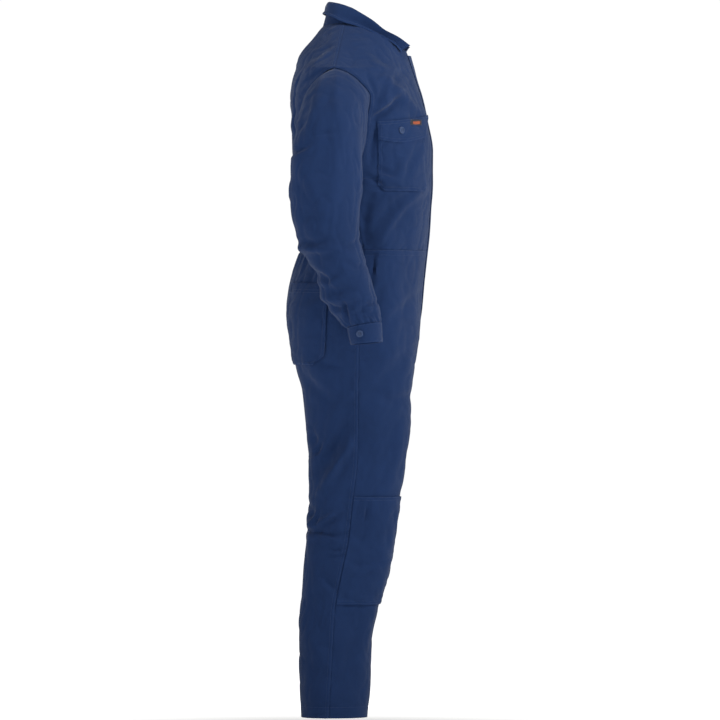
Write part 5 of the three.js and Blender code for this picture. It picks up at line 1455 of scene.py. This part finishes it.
# Making of every piece
chest_flaps = {}
for side, label in LABELS.items():
    make_front(side)
    make_sleeve(side)
    make_cuff(side)
    for side_name in ("front", "back"):
        make_leg(side, side_name)
    chest_flaps[side] = make_chest(side)
    make_rear_pocket(side)
    make_knee(side)
    at, facing = grid_at(*chest_flaps[side], CHEST_BUTTON["y"], CHEST_BUTTON["height"])
    make_button(f"chest_button_{label}_disc", f"chest_button_{label}", at, facing)
    share = np.array([[(CUFF_BUTTON["turn"] - CUFF_START_TURN) / (1 + CUFF_LAP_TURN)]])
    spot = mirrored(cuff_surface(np.array([[1.0]]), share), side)[0, 0]
    middle = mirrored(tube_centre(cuff_table(1.0)), side)
    out = spot - middle
    out[2] = 0
    out /= np.linalg.norm(out)
    make_button(f"cuff_button_{label}_disc", f"cuff_button_{label}", spot + out * CUFF_BUTTON["lift"], out)
make_back()
make_storm_flap()
make_collar()
make_tag(*chest_flaps[-1])
flush_threads()


# Materials. Cloth coordinates are in millimetres: u across the piece, v along it.
NAVY = (0.0114, 0.0284, 0.0890)
THREAD_BLUE = (0.040, 0.068, 0.160)
BUTTON_BLUE = (0.028, 0.052, 0.125)
TAG_ORANGE = (0.30, 0.062, 0.020)
TAG_BORDER = (0.010, 0.011, 0.020)
TAG_CORE = {"width": 27, "height": 7.0, "middle": 6.2}
SHEEN_BLUE = (0.84, 0.90, 1.0)
HOLE_DARK = (0.002, 0.003, 0.006)
HOLE_LIGHT = (0.006, 0.008, 0.016)


def new_material(name):
    material = bpy.data.materials.new(name)
    material.use_nodes = True
    tree = material.node_tree
    shader = tree.nodes["Principled BSDF"]
    return material, tree, shader


def node(tree, kind, **values):
    added = tree.nodes.new(kind)
    for key, value in values.items():
        setattr(added, key, value)
    return added


def connect(tree, source, target):
    tree.links.new(source, target)


def math_node(tree, operation, first, second=None, third=None):
    added = node(tree, "ShaderNodeMath", operation=operation)
    for socket, value in zip(added.inputs, (first, second, third)):
        if value is None:
            continue
        if isinstance(value, (int, float)):
            socket.default_value = value
        else:
            connect(tree, value, socket)
    return added.outputs[0]


def noise_node(tree, vector, scale, detail=2.0, roughness=0.5):
    added = node(tree, "ShaderNodeTexNoise")
    added.inputs["Scale"].default_value = scale
    added.inputs["Detail"].default_value = detail
    added.inputs["Roughness"].default_value = roughness
    if vector is not None:
        connect(tree, vector, added.inputs["Vector"])
    return added.outputs["Fac"]


def scaled_vector(tree, vector, scale):
    mapping = node(tree, "ShaderNodeMapping")
    mapping.inputs["Scale"].default_value = scale
    connect(tree, vector, mapping.inputs["Vector"])
    return mapping.outputs["Vector"]


def bump_node(tree, height, strength, distance, before=None):
    added = node(tree, "ShaderNodeBump")
    added.inputs["Strength"].default_value = strength
    added.inputs["Distance"].default_value = distance
    connect(tree, height, added.inputs["Height"])
    if before is not None:
        connect(tree, before, added.inputs["Normal"])
    return added.outputs["Normal"]


def two_tones(tree, shader, share, low, high):
    """The base colour runs from low to high by that share."""
    ramp = node(tree, "ShaderNodeValToRGB")
    for element, colour in zip(ramp.color_ramp.elements, (low, high)):
        element.color = (*colour, 1)
    connect(tree, share, ramp.inputs["Fac"])
    connect(tree, ramp.outputs["Color"], shader.inputs["Base Color"])


def shaded_colour(tree, shader, shade):
    """The base colour is a colour times the shade; gives the socket that takes the colour."""
    grey = node(tree, "ShaderNodeCombineColor")
    for socket in grey.inputs:
        connect(tree, shade, socket)
    colours = node(tree, "ShaderNodeMix", data_type="RGBA", blend_type="MULTIPLY")
    colours.inputs["Factor"].default_value = 1.0
    connect(tree, grey.outputs[0], colours.inputs["B"])
    connect(tree, colours.outputs["Result"], shader.inputs["Base Color"])
    return colours.inputs["A"]


def set_values(shader, **values):
    for key, value in values.items():
        shader.inputs[key.replace("_", " ")].default_value = value


def object_place(tree):
    return node(tree, "ShaderNodeTexCoord").outputs["Object"]


def falloff(tree, rim, reach):
    """1 at a sewn edge, dying out over that many millimetres."""
    return math_node(tree, "EXPONENT", math_node(tree, "MULTIPLY", rim, -1.0 / reach))


def cloth_material(name, colour, wear=1.0):
    material, tree, shader = new_material(name)
    uv = node(tree, "ShaderNodeUVMap", uv_map="cloth_mm").outputs["UV"]
    place = object_place(tree)
    rim = node(tree, "ShaderNodeAttribute", attribute_name="rim").outputs["Fac"]
    parts = node(tree, "ShaderNodeSeparateXYZ")
    connect(tree, uv, parts.inputs[0])
    wander = noise_node(tree, scaled_vector(tree, uv, (0.05, 0.05, 1)), 1.0)
    diagonal = math_node(tree, "ADD", parts.outputs[0], math_node(tree, "MULTIPLY", parts.outputs[1], 1.25))
    diagonal = math_node(tree, "ADD", diagonal, math_node(tree, "MULTIPLY", wander, 3.0))
    twill = math_node(tree, "SINE", math_node(tree, "MULTIPLY", diagonal, 2 * math.pi / 1.15))
    yarn = noise_node(tree, scaled_vector(tree, uv, (2.2, 0.5, 1)), 1.0, 2.0)
    weave = math_node(tree, "ADD", math_node(tree, "MULTIPLY", twill, 0.5), yarn)

    broad = noise_node(tree, place, 5.5, 3.0)
    middle = noise_node(tree, place, 34.0, 3.0, 0.6)
    slub = noise_node(tree, scaled_vector(tree, uv, (0.55, 0.035, 1)), 1.0, 3.0, 0.6)
    worn = math_node(tree, "MULTIPLY", falloff(tree, rim, 1.6), noise_node(tree, place, 160.0, 2.0))
    shade = math_node(tree, "MULTIPLY_ADD", broad, 0.26, 0.87)
    shade = math_node(tree, "ADD", shade, math_node(tree, "MULTIPLY_ADD", middle, 0.16, -0.08))
    shade = math_node(tree, "ADD", shade, math_node(tree, "MULTIPLY_ADD", slub, 0.16, -0.08))
    shade = math_node(tree, "ADD", shade, math_node(tree, "MULTIPLY", twill, 0.045))
    shade = math_node(tree, "ADD", shade, math_node(tree, "MULTIPLY", worn, 0.45 * wear))
    shaded_colour(tree, shader, shade).default_value = (*colour, 1)

    pucker = noise_node(tree, place, 150.0, 1.0)
    pucker = math_node(tree, "MULTIPLY", pucker, falloff(tree, rim, 9.0))
    crumple = noise_node(tree, place, 48.0, 3.0, 0.55)
    normal = bump_node(tree, crumple, 0.35, 0.0016)
    normal = bump_node(tree, pucker, 0.6, 0.0012, normal)
    normal = bump_node(tree, slub, 0.25, 0.0004, normal)
    normal = bump_node(tree, weave, 0.5, 0.00014, normal)
    connect(tree, normal, shader.inputs["Normal"])
    rough = math_node(tree, "MULTIPLY_ADD", middle, 0.12, 0.78)
    connect(tree, rough, shader.inputs["Roughness"])
    set_values(shader, Specular_IOR_Level=0.06, Sheen_Weight=0.10, Sheen_Roughness=0.45,
               Sheen_Tint=(*SHEEN_BLUE, 1))
    return material


def thread_material():
    material, tree, shader = new_material("sewing_thread")
    place = object_place(tree)
    twist = noise_node(tree, place, 2400.0, 1.0)
    shade = noise_node(tree, place, 60.0, 2.0)
    two_tones(tree, shader, shade, [0.7 * c for c in THREAD_BLUE], [1.25 * c for c in THREAD_BLUE])
    connect(tree, bump_node(tree, twist, 0.4, 0.0001), shader.inputs["Normal"])
    shader.inputs["Roughness"].default_value = 0.55
    return material


def button_material():
    material, tree, shader = new_material("button_plastic")
    place = object_place(tree)
    cloud = noise_node(tree, place, 420.0, 3.0)
    grain = noise_node(tree, place, 3200.0, 2.0)
    two_tones(tree, shader, cloud, [0.75 * c for c in BUTTON_BLUE], [1.5 * c for c in BUTTON_BLUE])
    connect(tree, math_node(tree, "MULTIPLY_ADD", cloud, 0.15, 0.38), shader.inputs["Roughness"])
    connect(tree, bump_node(tree, grain, 0.15, 0.00004), shader.inputs["Normal"])
    shader.inputs["Specular IOR Level"].default_value = 0.25
    return material


def hole_material():
    material, tree, shader = new_material("button_hole_shadow")
    place = object_place(tree)
    two_tones(tree, shader, noise_node(tree, place, 900.0), HOLE_DARK, HOLE_LIGHT)
    shader.inputs["Roughness"].default_value = 0.8
    return material


def tag_material():
    material, tree, shader = new_material("woven_tag")
    uv = node(tree, "ShaderNodeUVMap", uv_map="cloth_mm").outputs["UV"]
    parts = node(tree, "ShaderNodeSeparateXYZ")
    connect(tree, uv, parts.inputs[0])
    weft = math_node(tree, "SINE", math_node(tree, "MULTIPLY", parts.outputs[1], 2 * math.pi / 0.55))
    warp = math_node(tree, "SINE", math_node(tree, "MULTIPLY", parts.outputs[0], 2 * math.pi / 0.8))
    weave = math_node(tree, "MULTIPLY", weft, warp)
    fleck = noise_node(tree, scaled_vector(tree, uv, (1.5, 4, 1)), 1.0, 2.0)
    upright = math_node(tree, "SUBTRACT", parts.outputs[1], TAG_CORE["middle"])
    powers = []
    for distance, key in ((parts.outputs[0], "width"), (upright, "height")):
        share = math_node(tree, "DIVIDE", math_node(tree, "ABSOLUTE", distance), TAG_CORE[key] / 2)
        powers.append(math_node(tree, "POWER", share, 5.0))
    oval = math_node(tree, "ADD", *powers)
    inside = node(tree, "ShaderNodeMapRange")
    inside.inputs["From Min"].default_value = 1.15
    inside.inputs["From Max"].default_value = 0.85
    connect(tree, oval, inside.inputs["Value"])
    mixer = node(tree, "ShaderNodeMix", data_type="RGBA")
    mixer.inputs["A"].default_value = (*TAG_BORDER, 1)
    mixer.inputs["B"].default_value = (*TAG_ORANGE, 1)
    connect(tree, inside.outputs["Result"], mixer.inputs["Factor"])
    shade = math_node(tree, "MULTIPLY_ADD", weave, 0.12, 0.82)
    shade = math_node(tree, "MULTIPLY_ADD", fleck, 0.36, shade)
    connect(tree, mixer.outputs["Result"], shaded_colour(tree, shader, shade))
    connect(tree, bump_node(tree, weave, 0.4, 0.00012), shader.inputs["Normal"])
    shader.inputs["Roughness"].default_value = 0.7
    return material


# Painted light on the floor: its glow near the suit and far out, and the distances in metres over which it
# rises
FLOOR_GLOW = {"near": 0.03, "far": 0.93, "from": 0.45, "to": 1.4}


def floor_material():
    """A pale floor that glows with painted light further out, so that little light comes up at the hem;
    where the glow stops near the suit it leaves a painted shadow pool round it.
    """
    material, tree, shader = new_material("pale_floor")
    place = object_place(tree)
    two_tones(tree, shader, noise_node(tree, place, 1.5), [0.90] * 3, [0.94] * 3)
    shader.inputs["Roughness"].default_value = 0.9
    # Painted light: the floor glows more with distance from the suit, which leaves a painted shadow pool
    # around it
    away = node(tree, "ShaderNodeVectorMath", operation="LENGTH")
    connect(tree, place, away.inputs[0])
    glow = node(tree, "ShaderNodeMapRange", interpolation_type="SMOOTHSTEP")
    set_values(glow, From_Min=FLOOR_GLOW["from"], From_Max=FLOOR_GLOW["to"],
               To_Min=FLOOR_GLOW["near"], To_Max=FLOOR_GLOW["far"])
    connect(tree, away.outputs["Value"], glow.inputs["Value"])
    shader.inputs["Emission Color"].default_value = (1, 1, 1, 1)
    connect(tree, glow.outputs["Result"], shader.inputs["Emission Strength"])
    return material


# The first word that a piece's name holds settles its material
MATERIALS = {
    "_holes": hole_material(), "_disc": button_material(), "stitching": thread_material(),
    "label_tag": tag_material(), "": cloth_material("navy_twill", NAVY),
}
for obj in bpy.context.scene.objects:
    if obj.type != "MESH":
        continue
    obj.data.materials.clear()
    obj.data.materials.append(next(made for word, made in MATERIALS.items() if word in obj.name))

# Floor, lights and camera
FLOOR_DROP = 0.05
bpy.ops.mesh.primitive_plane_add(size=60, location=(0, 0, -SHOULDER_HEIGHT * MM - FLOOR_DROP))
floor = bpy.context.object
floor.name = "floor"
floor.data.materials.append(floor_material())

LIGHTS = [
    ("key", (-1.5, -2.8, 1.8), 0.9, 104, (1.0, 0.985, 0.96)),
    ("back", (-1.7, 2.7, 1.3), 1.2, 27, (0.97, 0.985, 1.0)),
    ("top", (-0.9, 0.0, 2.2), 1.1, 22, (1.0, 1.0, 1.0)),
    ("side_fill", (-4.5, -0.4, 0.4), 2.4, 10, (1.0, 1.0, 1.0)),
]
AIM = (0, -0.05, -0.35)


def add_light(name, at, size, power, colour):
    data = bpy.data.lights.new(name, "AREA")
    data.shape = "DISK"
    data.size = size
    data.energy = power
    data.color = colour
    light = bpy.data.objects.new(name, data)
    light.location = at
    way = np.array(AIM) - np.array(at)
    light.rotation_euler = Vector(way).to_track_quat("-Z", "Y").to_euler()
    bpy.context.scene.collection.objects.link(light)


for values in LIGHTS:
    add_light(*values)

WORLD = {"below": 0.18, "horizon": 1.02, "above": 0.13}
WORLD_STOPS = [(0.456, "below"), (0.47, "horizon"), (0.53, "horizon"), (0.55, "above")]
world = bpy.data.worlds.new("studio")
bpy.context.scene.world = world
world.use_nodes = True
tree = world.node_tree
sky = node(tree, "ShaderNodeTexCoord").outputs["Generated"]
parts = node(tree, "ShaderNodeSeparateXYZ")
connect(tree, sky, parts.inputs[0])
ramp = node(tree, "ShaderNodeValToRGB")
stops = ramp.color_ramp.elements
for number, (position, key) in enumerate(WORLD_STOPS):
    stop = stops[number] if number < 2 else stops.new(position)
    stop.position = position
    stop.color = (*[WORLD[key]] * 3, 1)
level = math_node(tree, "MULTIPLY_ADD", parts.outputs[2], 0.5, 0.5)
connect(tree, level, ramp.inputs["Fac"])
connect(tree, ramp.outputs["Color"], tree.nodes["Background"].inputs["Color"])

CAMERA_DISTANCE = 16.0
FRAME_WIDTH = 1.571
NEAR_PLANE = 0.12
SENSOR = 36
CAMERA_AIM = {"y": -0.0436, "height": -0.686}
camera_data = bpy.data.cameras.new("camera")
camera_data.sensor_width = SENSOR
camera_data.lens = SENSOR * (CAMERA_DISTANCE - NEAR_PLANE) / FRAME_WIDTH
camera_data.clip_end = 200
camera = bpy.data.objects.new("camera", camera_data)
camera.location = (-CAMERA_DISTANCE, CAMERA_AIM["y"], CAMERA_AIM["height"])
camera.rotation_euler = (math.pi / 2, 0, -math.pi / 2)
bpy.context.scene.collection.objects.link(camera)
bpy.context.scene.camera = camera
view = bpy.context.scene.view_settings
view.view_transform = "Standard"
view.look = "None"
